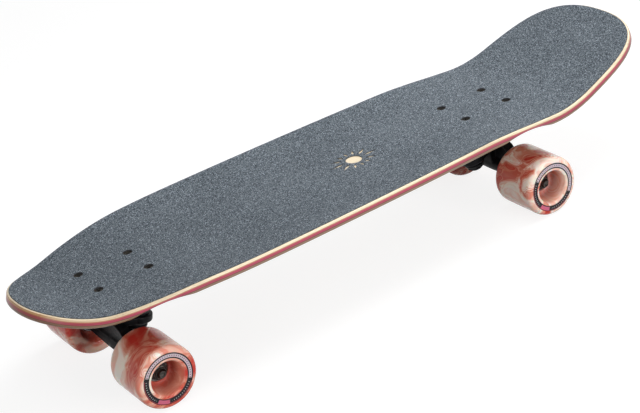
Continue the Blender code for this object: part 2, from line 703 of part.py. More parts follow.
def axle(surface):
    """The axle with a speed ring at each hub, about its own middle."""
    end = AXLE_HALF_LENGTH
    low = TUBE_HALF_LENGTH + GAP
    high = low + SPEED_RING_THICKNESS
    half = [(AXLE_RADIUS, low), (SPEED_RING_RADIUS, low), (SPEED_RING_RADIUS, high), (AXLE_RADIUS, high)]
    half += [(AXLE_RADIUS, end - AXLE_CHAMFER), (AXLE_RADIUS - AXLE_CHAMFER, end), (0, end)]
    profile = [(radius, -height) for radius, height in reversed(half)] + half
    return mesh_object("axle", turned(profile, MEDIUM), surface)


def wheel(surface):
    """A cast urethane wheel about its hub's middle, with its outer side towards +Z."""
    seat = BEARING_OUTER_RADIUS + GAP
    shelf = seat - BEARING_SHELF
    inner_edge = SPACER_LENGTH / 2
    bearing_end = inner_edge + BEARING_WIDTH + 2 * GAP
    corner_radius = WHEEL_FLAT_RADIUS + WHEEL_LIP_WIDTH * WHEEL_LIP_CORNER[0]
    corner_depth = WHEEL_LIP_DEPTH * WHEEL_LIP_CORNER[1]
    profile = [
        (WHEEL_CUP_RADIUS, WHEEL_OUTER_HALF - WHEEL_CUP_CHAMFER),
        (WHEEL_CUP_RADIUS + 2 * WHEEL_CUP_CHAMFER, WHEEL_OUTER_HALF),
        (WHEEL_FLAT_RADIUS, WHEEL_OUTER_HALF),
        (corner_radius, WHEEL_OUTER_HALF - corner_depth),
        (WHEEL_RADIUS, WHEEL_OUTER_HALF - WHEEL_LIP_DEPTH),
        (WHEEL_RADIUS, WHEEL_LIP_DEPTH - WHEEL_INNER_HALF),
        (corner_radius, corner_depth - WHEEL_INNER_HALF),
        (WHEEL_FLAT_RADIUS, -WHEEL_INNER_HALF),
        (WHEEL_CUP_RADIUS, -WHEEL_INNER_HALF),
        (seat, -bearing_end),
        (seat, -inner_edge),
        (shelf, -inner_edge),
        (shelf, inner_edge),
        (seat, inner_edge),
        (seat, bearing_end),
    ]
    return mesh_object("wheel", turned(profile, WHEEL_FACETS, False), surface)


def hub_pieces(steel):
    """Meshes of the bearing, the spacer and the axle nut, each along Z."""
    bore = AXLE_RADIUS + GAP
    half = BEARING_WIDTH / 2
    bearing_profile = tube_profile(bore, BEARING_OUTER_RADIUS, -half, half)
    bearing = mesh_object("bearing", turned(bearing_profile, MEDIUM), steel)
    half = SPACER_LENGTH / 2
    spacer = mesh_object("spacer", turned(tube_profile(bore, SPACER_RADIUS, -half, half), COARSE), steel)
    washer = turned(rod_profile(AXLE_WASHER_RADIUS, 0, AXLE_WASHER_THICKNESS), COARSE)
    nut_end = AXLE_WASHER_THICKNESS + AXLE_NUT_HEIGHT
    body = prism(hexagon(AXLE_NUT_RADIUS), AXLE_WASHER_THICKNESS / 2, nut_end)
    nut = combined(mesh_object("axle_nut", washer, steel), "UNION", body)
    drill = rod_profile(bore, -CUTTER_MARGIN, nut_end + CUTTER_MARGIN)
    combined(nut, "DIFFERENCE", turned(drill, MEDIUM, False))
    return bearing, spacer, nut


def place(obj, parent, location=(0, 0, 0), rotation=(0, 0, 0)):
    obj.parent = parent
    obj.location = location
    obj.rotation_euler = rotation
    return obj


def truck(name, sign, patterns):
    """One truck from the shared patterns. Its hanger and axle hang from an empty on the steering axis."""
    middle = (MIDDLE_X + sign * WHEELBASE / 2, 0, 0)
    carrier = empty(f"{name}_truck", None, middle, 0.0 if sign > 0 else math.pi)
    steer = empty(f"{name}_steer", carrier, RING_CENTRE)
    lean = (0, -KINGPIN_LEAN, 0)
    for piece in ("riser", "baseplate"):
        place(copy_of(patterns[piece], f"{name}_{piece}"), carrier)
    for piece in ("kingpin", "kingpin_nut", "board_bushing", "road_bushing", "board_washer", "road_washer"):
        place(copy_of(patterns[piece], f"{name}_{piece}"), carrier, RING_CENTRE, lean)
    towards_cup = (0, math.pi / 2 - STEER_ANGLE, 0)
    place(copy_of(patterns["pivot_cup"], f"{name}_pivot_cup"), carrier, RING_CENTRE, towards_cup)
    place(copy_of(patterns["hanger"], f"{name}_hanger"), steer, -RING_CENTRE)
    axle_middle = Vector((AXLE_OFFSET, 0, WHEEL_RADIUS)) - RING_CENTRE
    place(copy_of(patterns["axle"], f"{name}_axle"), steer, axle_middle, (-math.pi / 2, 0, 0))
    for side in (1, -1):
        corner = f"{name}_{'left' if side * sign > 0 else 'right'}"
        turn = (-side * math.pi / 2, 0, 0)
        hub = axle_middle + Vector((0, side * HUB_FROM_MIDDLE, 0))
        step = Vector((0, side * (SPACER_LENGTH / 2 + GAP + BEARING_WIDTH / 2), 0))
        nut_seat = Vector((0, side * NUT_SEAT, 0))
        place(copy_of(patterns["wheel"], f"{corner}_wheel"), steer, hub, turn)
        place(copy_of(patterns["bearing"], f"{corner}_bearing_inner"), steer, hub - step, turn)
        place(copy_of(patterns["bearing"], f"{corner}_bearing_outer"), steer, hub + step, turn)
        place(copy_of(patterns["spacer"], f"{corner}_bearing_spacer"), steer, hub, turn)
        place(copy_of(patterns["axle_nut"], f"{corner}_axle_nut"), steer, hub + nut_seat, turn)


def main():
    clear_scene()
    maple = material("maple", (0.80, 0.62, 0.40), 0.45)
    grit = material("grip", (0.22, 0.25, 0.28), 0.90)
    black = material("black_paint", (0.015, 0.015, 0.017), 0.40, 0.3)
    black_bolt = material("black_bolt", (0.03, 0.03, 0.032), 0.35, 0.8)
    steel = material("steel", (0.55, 0.55, 0.56), 0.30, 1.0)
    rubber = material("black_rubber", (0.02, 0.02, 0.02), 0.70)
    bushing = material("bushing_urethane", (0.03, 0.03, 0.03), 0.50)
    urethane = material("wheel_urethane", (0.80, 0.30, 0.24), 0.30)
    deck(maple)
    grip_tape(grit)
    deck_hardware(black_bolt)
    heights = stack_heights()
    bearing, spacer, axle_nut = hub_pieces(steel)
    wide = BOARD_BUSHING_RADIUS
    barrel = (RING_SEAT_RADIUS - 2 * GAP, wide, wide, wide - GAP)
    cone = (ROAD_BUSHING_TIP_RADIUS, ROAD_BUSHING_RADIUS)
    washers = {
        "board_washer": (BOARD_WASHER_RADIUS, BOARD_WASHER_RADIUS),
        "road_washer": (ROAD_WASHER_RADIUS, ROAD_WASHER_RADIUS),
    }
    patterns = {
        "riser": riser(rubber),
        "baseplate": baseplate(black),
        "pivot_cup": pivot_cup(rubber),
        "kingpin": kingpin(black_bolt),
        "kingpin_nut": kingpin_nut(black_bolt),
        "board_bushing": stack_ring("board_bushing", heights["board_bushing"], barrel, bushing),
        "road_bushing": stack_ring("road_bushing", heights["road_bushing"], cone, bushing),
        "hanger": hanger(black),
        "axle": axle(steel),
        "wheel": wheel(urethane),
        "bearing": bearing,
        "spacer": spacer,
        "axle_nut": axle_nut,
    }
    for name, radii in washers.items():
        patterns[name] = stack_ring(name, heights[name], radii, black_bolt)
    truck("front", 1, patterns)
    truck("rear", -1, patterns)
    for pattern in patterns.values():
        bpy.data.objects.remove(pattern)


main()
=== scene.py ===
"""Cruiser skateboard: its visible surfaces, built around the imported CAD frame.

Units are metres, in the CAD's own frame: +X is the nose, +Y the left side, +Z up, and the floor is z = 0.
A truck's pieces are made in the truck's own frame, in which +X points outwards, to its own end of the deck.
"""

import math

import bmesh
import bpy
from mathutils import Matrix, Vector


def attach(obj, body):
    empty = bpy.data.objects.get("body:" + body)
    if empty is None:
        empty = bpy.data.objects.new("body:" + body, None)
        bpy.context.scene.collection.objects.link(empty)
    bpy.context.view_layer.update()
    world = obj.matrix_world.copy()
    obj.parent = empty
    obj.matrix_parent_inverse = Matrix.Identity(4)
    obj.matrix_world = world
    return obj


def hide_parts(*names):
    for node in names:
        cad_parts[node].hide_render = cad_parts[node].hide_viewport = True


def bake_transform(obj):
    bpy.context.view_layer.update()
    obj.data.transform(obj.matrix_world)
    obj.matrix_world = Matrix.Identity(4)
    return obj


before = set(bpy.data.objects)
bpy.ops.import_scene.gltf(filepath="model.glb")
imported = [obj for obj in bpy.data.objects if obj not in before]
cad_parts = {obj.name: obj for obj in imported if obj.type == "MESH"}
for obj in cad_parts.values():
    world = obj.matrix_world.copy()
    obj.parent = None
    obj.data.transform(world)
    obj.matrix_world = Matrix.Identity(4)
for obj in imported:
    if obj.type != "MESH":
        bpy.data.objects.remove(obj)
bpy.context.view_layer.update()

# Deck outline and side view, as in the CAD
WHEELBASE = 0.4368
NOSE_OVERHANG = 0.1019
TAIL_OVERHANG = 0.1841
DECK_HALF_WIDTH = 0.1006
WIDEST_AHEAD_OF_MIDDLE = 0.075
NOSE_POWER = 2.68
NOSE_ROOT = 2.195
TAIL_TAPER = 0.0008
TAIL_TAPER_CURVE = 0.0875
TAIL_END_LENGTH = 0.1464
TAIL_POWER = 5.55
TAIL_ROOT = 2.39
TOP_HEIGHT = 0.1030
WHOLE_THICKNESS = 0.0107
NOSE_KICK = (0.0365, math.radians(19.4), 0.135)
TAIL_KICK = (0.0356, math.radians(18.6), 0.1545)
CONCAVE_RISE = 0.0067
CONCAVE_FADE = 0.0590
CONCAVE_FADE_MIDDLE = 0.0017
FLAT_HALF_WIDTH = 0.030
WELL_RADIUS = 0.118
WELL_DEPTH = 0.0028
WELL_TILT = math.radians(7.0)
WELL_INSET = 0.0095
WELL_CREASE = 0.0012

# Deck and grip tape, as shown
SHEET_BOTTOM = 0.00085
BOARD_TOP = 0.0009
SHEET_INSET = 0.0019
SHEET_EDGE = 0.0003
TOP_ROUND = 0.0020
BOTTOM_ROUND = 0.0030

# The middle between the trucks, ahead of the middle of the deck's length
KICK_ENDS = WHOLE_THICKNESS * (math.sin(TAIL_KICK[1]) - math.sin(NOSE_KICK[1]))
MIDDLE_X = (TAIL_OVERHANG - NOSE_OVERHANG + KICK_ENDS) / 2

# Sunburst through the grip tape
SUN_BEHIND_MIDDLE = 0.063
SUN_DISC_RADIUS = 0.0085
SUN_RAY_START = 0.0115
SUN_HALF_LENGTH = 0.030
SUN_HALF_WIDTH = 0.019
SUN_RAYS = 12
SUN_RAY_HALF_WIDTH = 0.0016

# Deck bolts
BOLT_SPACING_X = 0.05398
BOLT_SPACING_Y = 0.0413
BOLT_RADIUS = 0.0023
BOLT_HOLE_RADIUS = 0.0028
BOLT_HEAD_RADIUS = 0.0046
BOLT_HEAD_DEPTH = 0.0026
BOLT_HEAD_TOP = 0.1016
BOLT_TAIL = 0.0747
SHEET_HOLE_RADIUS = 0.00475
LOCK_NUT_TOP = 0.0809
LOCK_NUT_HEIGHT = 0.0050
LOCK_NUT_RADIUS = 0.0055
NUT_SEAT_RADIUS = 0.0068

# Trucks
WHEEL_RADIUS = 0.0315
AXLE_OFFSET = 0.0135
AXLE_CENTRE = Vector((AXLE_OFFSET, 0, WHEEL_RADIUS))
RING_CENTRE = Vector((-0.0118, 0, 0.0476))
KINGPIN_LEAN = math.radians(15.0)
STEER_ANGLE = math.radians(36.0)
GAP = 0.0003
RISER_BOTTOM, RISER_TOP = 0.0860, 0.0920
PLATE_BOTTOM, PLATE_TOP = 0.0812, 0.0857
PLATE_LENGTH = 0.084
PLATE_WIDTH = 0.0568
PLATE_CORNER = 0.008
BOSS_HEIGHT = 0.0153
BOSS_RADIUS = 0.0135
HOUSING_RADIUS = 0.0108
PIVOT_REACH = 0.0472
PIVOT_PIN_RADIUS = 0.0058
PIVOT_PIN_LENGTH = 0.0130
CUP_WALL = 0.0020
CUP_LENGTH = 0.0134
RING_RADIUS = 0.0157
RING_HALF = 0.0036
RING_HOLE_RADIUS = 0.0075
RING_SEAT_DEPTH = 0.0022
RING_SEAT_RADIUS = 0.0116
BUSHING_SEAT = RING_HALF - RING_SEAT_DEPTH + GAP
BOARD_BUSHING_END = BUSHING_SEAT + 0.0114
ROAD_BUSHING_END = -BUSHING_SEAT - 0.0066
WASHER_THICKNESS = 0.0014
TUBE_HALF_LENGTH = 0.0526
TUBE_MIDDLE_RADIUS = 0.0090
TUBE_END_RADIUS = 0.0073
KINGPIN_RADIUS = 0.0049
KINGPIN_HEAD_RADIUS = 0.0092
KINGPIN_HEAD_HEIGHT = 0.0052
AXLE_RADIUS = 0.0040
AXLE_LENGTH = 0.1770

# Wheels, measured from the hub's middle with the outer side at +
HUB_FROM_MIDDLE = 0.0660
WHEEL_OUTER = 0.0332
WHEEL_INNER = 0.0240
WHEEL_LIP = 0.0066
WHEEL_FLAT_RADIUS = 0.0262
LIP_BULGE = 2 / 2.15
CUP_MOUTH_RADIUS = 0.0176
BEARING_SEAT = 0.0113
SPACER_HALF = 0.0047
BEARING_WIDTH = 0.0070
BEARING_RADIUS = 0.0110
HUB_HALF = SPACER_HALF + BEARING_WIDTH + 2 * GAP

# Printed ring on a wheel: inner and outer radius of each band
BAND_RADII = (0.0203, 0.0260)
ARC_RADII = (0.0216, 0.0247)
TICK_RADII = (0.0226, 0.0237)
RIM_RADII = (0.0250, 0.0254)
PATCH_RADII = (0.0213, 0.0251)
PRINT_BLUR = 0.00009
PRINT_TICKS = 60

# Each wheel's poured colours: its place in the pattern, the pattern's scale, the colours, the print's turn.
# The right wheels' colours run darker: partly their own marbling, partly painted shade as under the deck.
CREAM, PALE, SALMON = (0.95, 0.81, 0.72), (0.86, 0.53, 0.42), (0.74, 0.27, 0.19)
BRICK, RED, DARK_RED_WITH_PAINTED_SHADE = (0.62, 0.130, 0.085), (0.58, 0.045, 0.030), (0.28, 0.020, 0.016)
WHEEL_COLOURS = {
    ("front", "left"): (
        (3.30, 1.80, 1.06), 24,
        [(0.34, RED), (0.42, BRICK), (0.49, SALMON), (0.57, PALE), (0.64, CREAM)], 0.43,
    ),
    ("rear", "left"): (
        (3.09, 1.79, 2.68), 20,
        [(0.33, RED), (0.40, BRICK), (0.46, SALMON), (0.51, PALE), (0.56, CREAM), (0.68, PALE)], 0.60,
    ),
    # The right wheels have darker stops, partly as painted shade.
    ("front", "right"): (
        (1.21, 0.36, 0.61), 22,
        [(0.34, DARK_RED_WITH_PAINTED_SHADE), (0.42, RED), (0.50, BRICK), (0.56, SALMON), (0.63, PALE)], 1.1,
    ),
    ("rear", "right"): (
        (0.14, 1.02, 0.83), 22,
        [(0.34, DARK_RED_WITH_PAINTED_SHADE), (0.41, RED), (0.48, BRICK), (0.53, SALMON), (0.59, PALE), (0.66, CREAM)], 2.3,
    ),
}

# Fineness of the meshes
ROWS = 360
BOARD_COLUMNS = (40, 88)
SHEET_COLUMNS = (60, 8)
ROUND_STEPS = 6
CORNER_STEPS = 4
PLATE_CORNER_STEPS = 10
LIP_STEPS = 12
WHEEL_SEGMENTS = 128
CAST_VOXEL = 0.0006
HEX_FACE_SHARE = 0.8742
UPSIDE_DOWN = Matrix.Rotation(math.pi, 4, "X")

# The camera, as solved from the photograph
CAMERA_TURN = math.radians(150.385)
CAMERA_HEIGHT = math.radians(27.289)
CAMERA_ROLL = math.radians(-10.616)
CAMERA_PLACE = Vector((0.846046, 1.441577, 0.925338))
SENSOR_WIDTH = 36.0
CAMERA_LENS = 104.49

# Light from the white surroundings: faintest from ahead of the nose, and strongest towards this direction
SKY_TOWARDS = (-0.45, 0.25, 0.85)
SKY_RANGE = (-0.35, 0.90)
SKY_LOW = 0.08
SKY_HIGH = 0.32

# The floor, and the lamps with their places, widths in metres and power in watts
FLOOR_COLOUR = (0.26, 0.26, 0.26)
FLOOR_GLOW = 0.84
FLOOR_HALF_SIZE = 6.0
LAMPS = [((-0.24, 0.05, 0.80), 0.5, 3.6), ((-1.6, -0.3, 1.2), 1.0, 13.0)]
LAMPS += [((-0.5, 2.6, 0.6), 1.2, 44.0), ((1.9, 0.8, 0.35), 1.0, 12.0)]
LAMP_TARGET = Vector((MIDDLE_X, 0, 0.08))


class Nodes:
    """A node tree under construction. Its methods add a node and return the output that matters."""

    def __init__(self, tree):
        self.tree = tree

    def feed(self, socket, value):
        if isinstance(value, bpy.types.NodeSocket):
            self.tree.links.new(value, socket)
        elif isinstance(value, tuple) and len(value) == 3 and socket.type == "RGBA":
            socket.default_value = (*value, 1.0)
        else:
            socket.default_value = value

    def add(self, kind, values=(), **settings):
        """A node with its settings, and with values or links for its first sockets."""
        node = self.tree.nodes.new(kind)
        for setting, value in settings.items():
            setattr(node, setting, value)
        for socket, value in zip(node.inputs, values):
            self.feed(socket, value)
        return node

    def put(self, node, **values):
        """Values or links for a node's sockets by name, with _ for a space."""
        for name, value in values.items():
            self.feed(node.inputs[name.replace("_", " ")], value)
        return node

    def math(self, operation, *values):
        return self.add("ShaderNodeMath", values, operation=operation).outputs[0]

    def times(self, first, second):
        return self.math("MULTIPLY", first, second)

    def plus(self, first, second):
        return self.math("ADD", first, second)

    def vector(self, operation, first, second):
        return self.add("ShaderNodeVectorMath", (first, second), operation=operation).outputs[0]

    def between(self, value, low, high, start=0.0, end=1.0):
        """The value's place from low to high, as a number from start to end."""
        return self.add("ShaderNodeMapRange", (value, low, high, start, end)).outputs[0]

    def seen_directly(self):
        """1 for camera, glossy and transmission rays, which see the plain white surroundings."""
        path = self.add("ShaderNodeLightPath").outputs
        mirrored = self.math("MAXIMUM", path["Is Camera Ray"], path["Is Glossy Ray"])
        return self.math("MAXIMUM", mirrored, path["Is Transmission Ray"])


class Surface(Nodes):
    """A node material under construction, in the object's own coordinates."""

    def __init__(self, name, roughness, metallic=0.0, **plain):
        self.material = bpy.data.materials.new(name)
        self.material.use_nodes = True
        super().__init__(self.material.node_tree)
        self.shader = self.tree.nodes["Principled BSDF"]
        self.set(Roughness=roughness, Metallic=metallic, **plain)
        coordinates = self.add("ShaderNodeTexCoord").outputs
        self.place, self.normal = coordinates["Object"], coordinates["Normal"]

    def set(self, **values):
        self.put(self.shader, **values)

    def scaled(self, factors, vector=None):
        return self.vector("MULTIPLY", vector or self.place, factors)

    def split(self, vector=None):
        return self.add("ShaderNodeSeparateXYZ", [vector or self.place]).outputs

    def noise(self, scale, detail=2.0, vector=None, distortion=0.0, output="Fac", roughness=0.5):
        node = self.add("ShaderNodeTexNoise")
        self.put(node, Vector=vector or self.place, Scale=scale, Detail=detail)
        self.put(node, Distortion=distortion, Roughness=roughness)
        return node.outputs[output]

    def cells(self, scale):
        """The three parts of a random colour for each small cell."""
        node = self.put(self.add("ShaderNodeTexVoronoi"), Vector=self.place, Scale=scale)
        return self.split(node.outputs["Color"])

    def ramp(self, factor, stops, interpolation="LINEAR"):
        node = self.add("ShaderNodeValToRGB", [factor])
        band = node.color_ramp
        band.interpolation = interpolation
        while len(band.elements) < len(stops):
            band.elements.new(0.5)
        for element, (position, colour) in zip(band.elements, stops):
            element.position = position
            element.color = (*colour, 1.0)
        return node.outputs[0]

    def mottled(self, factor, dark, light):
        """A colour from dark to light, over the middle of the factor's range."""
        return self.ramp(factor, [(0.3, dark), (0.7, light)])

    def mix(self, factor, first, second, blend="MIX"):
        node = self.add("ShaderNodeMix", data_type="RGBA", blend_type=blend)
        for index, value in ((0, factor), (6, first), (7, second)):
            self.feed(node.inputs[index], value)
        return node.outputs[2]

    def window(self, value, low, high, blur):
        """1 where the value lies between low and high, with soft ends."""
        rise = self.between(value, low - blur, low + blur)
        return self.times(rise, self.between(value, high - blur, high + blur, 1.0, 0.0))

    def bump(self, height, distance, strength):
        node = self.put(self.add("ShaderNodeBump"), Strength=strength, Distance=distance, Height=height)
        self.set(Normal=node.outputs[0])


def grip_surface():
    """Blue-grey grit: stones of half a millimetre, uneven glue and a sparse sparkle."""
    s = Surface("grip_grit", 0.72, Specular_IOR_Level=0.22)
    stones = s.cells(1900)[0]
    clumps = s.noise(620, 3.0)
    patches = s.noise(11, 3.0)
    tone = s.plus(s.plus(s.times(stones, 0.45), s.times(clumps, 0.75)), s.times(patches, 0.16))
    dark, middle, light = (0.008, 0.012, 0.017), (0.044, 0.058, 0.073), (0.29, 0.33, 0.37)
    colour = s.ramp(tone, [(0.30, dark), (0.62, middle), (0.98, light)])
    glint = s.between(s.cells(1500)[1], 0.935, 0.955)
    s.set(Base_Color=s.mix(glint, colour, (0.38, 0.43, 0.48)))
    s.set(Roughness=s.between(glint, 0.0, 1.0, 0.74, 0.30))
    s.bump(s.plus(stones, s.times(clumps, 0.8)), 0.00022, 0.5)
    return s.material


def sheet_edge_surface():
    """The cut paper and glue at the edge of the grip tape."""
    s = Surface("grip_edge", 0.8)
    s.set(Base_Color=s.mottled(s.noise(900, 3.0), (0.02, 0.02, 0.022), (0.06, 0.06, 0.065)))
    s.bump(s.noise(1500, 2.0), 0.0001, 0.5)
    return s.material


def ply_surface():
    """Lacquered maple plies, coloured by depth below the top and darker on end grain, partly as painted
    shade.

    A sanded edge or a well then shows each ply. The fibres run along the board.
    The olive plies near the bottom are darkened as painted shade of the rounded underside.
    """
    s = Surface("maple_plies", 0.40, Coat_Weight=0.35, Coat_Roughness=0.18, Specular_IOR_Level=0.4)
    depth = s.add("ShaderNodeAttribute", attribute_name="ply_depth").outputs["Fac"]
    waver = s.times(s.math("SUBTRACT", s.noise(1.0, 3.0, s.scaled((14, 90, 90))), 0.5), 0.0005)
    share = s.between(s.plus(depth, waver), BOARD_TOP, WHOLE_THICKNESS)
    cream, glue, tan = (0.94, 0.81, 0.60), (0.70, 0.50, 0.30), (0.60, 0.29, 0.18)
    pink, brown = (0.52, 0.060, 0.130), (0.17, 0.055, 0.045)
    # The olive of the lower plies is darkened as painted shade of the rounded underside.
    olive_with_painted_shade, face = (0.30, 0.205, 0.130), (0.62, 0.44, 0.26)
    plies = [(0.0, cream), (0.115, cream), (0.125, glue), (0.145, cream), (0.235, cream)]
    plies += [(0.255, tan), (0.33, tan), (0.35, pink), (0.445, pink), (0.455, brown)]
    plies += [(0.475, pink), (0.575, pink), (0.59, brown), (0.65, brown), (0.67, olive_with_painted_shade)]
    plies += [(0.80, olive_with_painted_shade), (0.82, brown), (0.84, olive_with_painted_shade), (0.93, olive_with_painted_shade), (0.955, face)]
    fibre = s.noise(1.0, 5.0, s.scaled((9, 520, 520)), roughness=0.62)
    figure = s.noise(1.0, 4.0, s.scaled((3.2, 30, 30)), distortion=1.4)
    pores = s.between(s.noise(1.0, 2.0, s.scaled((60, 1700, 1700))), 0.62, 0.74)
    shade = s.plus(s.times(fibre, 0.34), s.times(figure, 0.30))
    grain = s.ramp(shade, [(0.12, (0.62, 0.55, 0.47)), (0.34, (0.96, 0.94, 0.91)), (0.56, (1.0, 1.0, 1.0))])
    colour = s.mix(1.0, s.ramp(share, plies), grain, "MULTIPLY")
    # Faces turned along the board, at the nose and tail, are darkened: partly the wood's own end grain,
    # partly painted shade on those edges.
    along, across, up = (s.math("ABSOLUTE", part) for part in s.split(s.normal))
    turned = s.between(s.math("ARCTAN2", along, across), math.radians(12), math.radians(50))
    end_grain_and_shade = s.times(s.between(up, 0.97, 0.80), turned)
    colour = s.mix(end_grain_and_shade, colour, (0.56, 0.36, 0.20), "MULTIPLY")
    s.set(Base_Color=s.mix(s.times(pores, 0.30), colour, (0.20, 0.11, 0.06)))
    s.set(Roughness=s.between(fibre, 0.3, 0.7, 0.34, 0.50))
    s.bump(s.plus(fibre, s.times(pores, -0.7)), 0.00008, 0.35)
    return s.material


def cast_paint_surface():
    """Semi-gloss black paint over a slightly pebbled casting."""
    s = Surface("truck_black_paint", 0.40, Specular_IOR_Level=0.08)
    mottle = s.noise(160, 4.0)
    s.set(Base_Color=s.mottled(mottle, (0.003, 0.003, 0.004), (0.009, 0.009, 0.010)))
    s.set(Roughness=s.between(s.noise(420, 3.0), 0.3, 0.7, 0.34, 0.50))
    s.bump(s.plus(s.noise(1100, 2.0), s.times(mottle, 0.8)), 0.00011, 0.5)
    return s.material


def steel_surface(name, dark, light, low, high, metallic=1.0):
    """Plated or blackened steel with a faint brushed direction, dull patches and fine scratches."""
    s = Surface(name, low, metallic)
    patches = s.noise(240, 4.0)
    scratches = s.noise(1.0, 3.0, s.scaled((3200, 3200, 500)))
    wear = s.plus(s.times(patches, 0.6), s.times(scratches, 0.4))
    s.set(Base_Color=s.mottled(patches, dark, light), Roughness=s.between(wear, 0.35, 0.65, low, high))
    s.bump(scratches, 0.00003, 0.4)
    return s.material


def soft_surface(name, dark, light, roughness, grain):
    """Moulded rubber or plastic with a matt skin."""
    s = Surface(name, roughness, Specular_IOR_Level=0.28)
    s.set(Base_Color=s.mottled(s.noise(300, 4.0), dark, light))
    s.set(Roughness=s.between(s.noise(500, 3.0), 0.3, 0.7, roughness - 0.07, roughness + 0.07))
    s.bump(s.noise(grain, 3.0), 0.00008, 0.5)
    return s.material


def urethane_surface(name, offset, scale, stops, turn):
    """Poured urethane with folded streaks of colour, painted shade deep in the cup, and a plain banded ring
    printed on the outer face.
    """
    s = Surface(
        name, 0.22, Specular_IOR_Level=0.22,
        Subsurface_Weight=0.50, Subsurface_Radius=(1.0, 0.30, 0.20), Subsurface_Scale=0.0035,
    )
    start = s.vector("ADD", s.place, offset)
    bent = start
    for fineness, push in ((16, 0.110), (48, 0.020)):
        drift = s.vector("SUBTRACT", s.noise(fineness, 1.0, bent, output="Color"), (0.5, 0.5, 0.5))
        bent = s.vector("ADD", bent, s.scaled((push, push, push), drift))
    folds = s.noise(scale, 2.0, bent, distortion=0.6)
    ripple = s.times(s.noise(60, 2.0, bent), 9.0)
    threads = s.math("SINE", s.math("MULTIPLY_ADD", folds, 150.0, ripple))
    strength = s.between(s.noise(34, 1.0, start), 0.38, 0.62, 0.006, 0.048)
    cloud = s.math("SUBTRACT", s.noise(130, 3.0, bent), 0.5)
    tone = s.math("MULTIPLY_ADD", threads, strength, folds)
    poured = s.ramp(s.math("MULTIPLY_ADD", cloud, 0.10, tone), stops, "EASE")
    turned = s.put(s.add("ShaderNodeMapping"), Vector=s.place, Rotation=(0, 0, turn))
    x, y, z = s.split(turned.outputs[0])
    radius = s.math("SQRT", s.plus(s.times(x, x), s.times(y, y)))
    rise = s.math("DIVIDE", y, radius)
    # Inside the cup the colour runs from dark red deep down to peach at the mouth: partly the urethane's own
    # deeper tint, partly painted shade in the recess.
    cup_tint_and_painted_shade = s.mix(s.between(z, 0.013, 0.030), (0.44, 0.055, 0.040), (0.84, 0.40, 0.28))
    poured = s.mix(s.times(s.between(radius, 0.0184, 0.0162), 0.72), poured, cup_tint_and_painted_shade)

    def ring(radii):
        return s.window(radius, *radii, PRINT_BLUR)

    def level(low, high=2.0, blur=0.004):
        """The print between two heights, where -1 is the ring's foot and 1 its top."""
        return s.window(rise, low, high, blur)

    upper, lower = level(0.02), level(-2.0, -0.10)
    turns = s.times(s.math("ARCTAN2", y, x), PRINT_TICKS / (2 * math.pi))
    ticks = s.times(ring(TICK_RADII), s.window(s.math("FRACT", turns), 0.30, 0.62, 0.05))
    pale_ticks = s.times(s.times(ticks, s.times(lower, level(-0.93))), 0.8)
    ink = (0.012, 0.011, 0.013)
    for share, colour in (
        (s.times(ring(ARC_RADII), upper), (0.60, 0.50, 0.55)),
        (s.times(ticks, upper), (0.035, 0.030, 0.034)),
        (pale_ticks, (0.50, 0.47, 0.49)),
        (s.times(ring(RIM_RADII), lower), (0.42, 0.05, 0.07)),
        (s.times(ring(PATCH_RADII), level(-2.0, -0.965, 0.003)), (0.62, 0.14, 0.23)),
    ):
        ink = s.mix(share, ink, colour)
    face = s.between(z, WHEEL_OUTER - 0.0008, WHEEL_OUTER - 0.0005)
    worn = s.between(s.noise(2400, 2.0), 0.22, 0.27)
    printed = s.times(s.times(ring(BAND_RADII), face), worn)
    s.set(Base_Color=s.mix(printed, poured, ink), Roughness=s.between(printed, 0.0, 1.0, 0.20, 0.34))
    s.bump(s.plus(s.times(s.noise(90, 3.0), 0.5), s.times(printed, 0.25)), 0.00010, 0.6)
    return s.material


def finished_mesh(name, bm, materials, sharp=32.0):
    """A mesh from a bmesh, with faces turned outwards and smooth shading up to an angle."""
    bmesh.ops.recalc_face_normals(bm, faces=bm.faces)
    mesh = bpy.data.meshes.new(name)
    bm.to_mesh(mesh)
    bm.free()
    for surface in materials:
        mesh.materials.append(surface)
    mesh.shade_smooth()
    mesh.set_sharp_from_angle(angle=math.radians(sharp))
    return mesh


def evaluated(name, mesh, set_up, sharp=32.0):
    """A mesh after modifiers: set_up(object) adds them."""
    carrier = bpy.data.objects.new("carrier", mesh)
    bpy.context.scene.collection.objects.link(carrier)
    set_up(carrier)
    graph = bpy.context.evaluated_depsgraph_get()
    result = bpy.data.meshes.new_from_object(carrier.evaluated_get(graph))
    bpy.data.objects.remove(carrier)
    result.name = name
    result.shade_smooth()
    result.set_sharp_from_angle(angle=math.radians(sharp))
    return result


def cut(mesh, *cutters, sharp=32.0):
    """The mesh with each closed bmesh taken away from it."""
    for cutter in cutters:
        tool = bpy.data.objects.new("tool", finished_mesh("tool", cutter, []))
        bpy.context.scene.collection.objects.link(tool)

        def add_cut(carrier):
            step = carrier.modifiers.new("cut", "BOOLEAN")
            step.operation = "DIFFERENCE"
            step.solver = "EXACT"
            step.object = tool

        mesh = evaluated(mesh.name, mesh, add_cut, sharp)
        bpy.data.objects.remove(tool)
    return mesh


def cast(name, shapes, surface, rounds):
    """One mesh that fuses overlapping shapes the way a casting does, with softened corners."""
    mesh = finished_mesh(name, joined(shapes), [surface])

    def fuse(carrier):
        remesh = carrier.modifiers.new("fuse", "REMESH")
        remesh.mode = "VOXEL"
        remesh.voxel_size = CAST_VOXEL
        soften = carrier.modifiers.new("soften", "SMOOTH")
        soften.factor = 0.5
        soften.iterations = rounds

    fused = evaluated(name, mesh, fuse, 60.0)
    fused.materials.clear()
    fused.materials.append(surface)
    return fused


def joined(shapes):
    """One bmesh that holds separate closed shapes."""
    whole = bmesh.new()
    for shape in shapes:
        bmesh.ops.recalc_face_normals(shape, faces=shape.faces)
        mesh = bpy.data.meshes.new("shape")
        shape.to_mesh(mesh)
        shape.free()
        whole.from_mesh(mesh)
        bpy.data.meshes.remove(mesh)
    return whole


def moved(bm, matrix):
    bm.transform(matrix)
    return bm


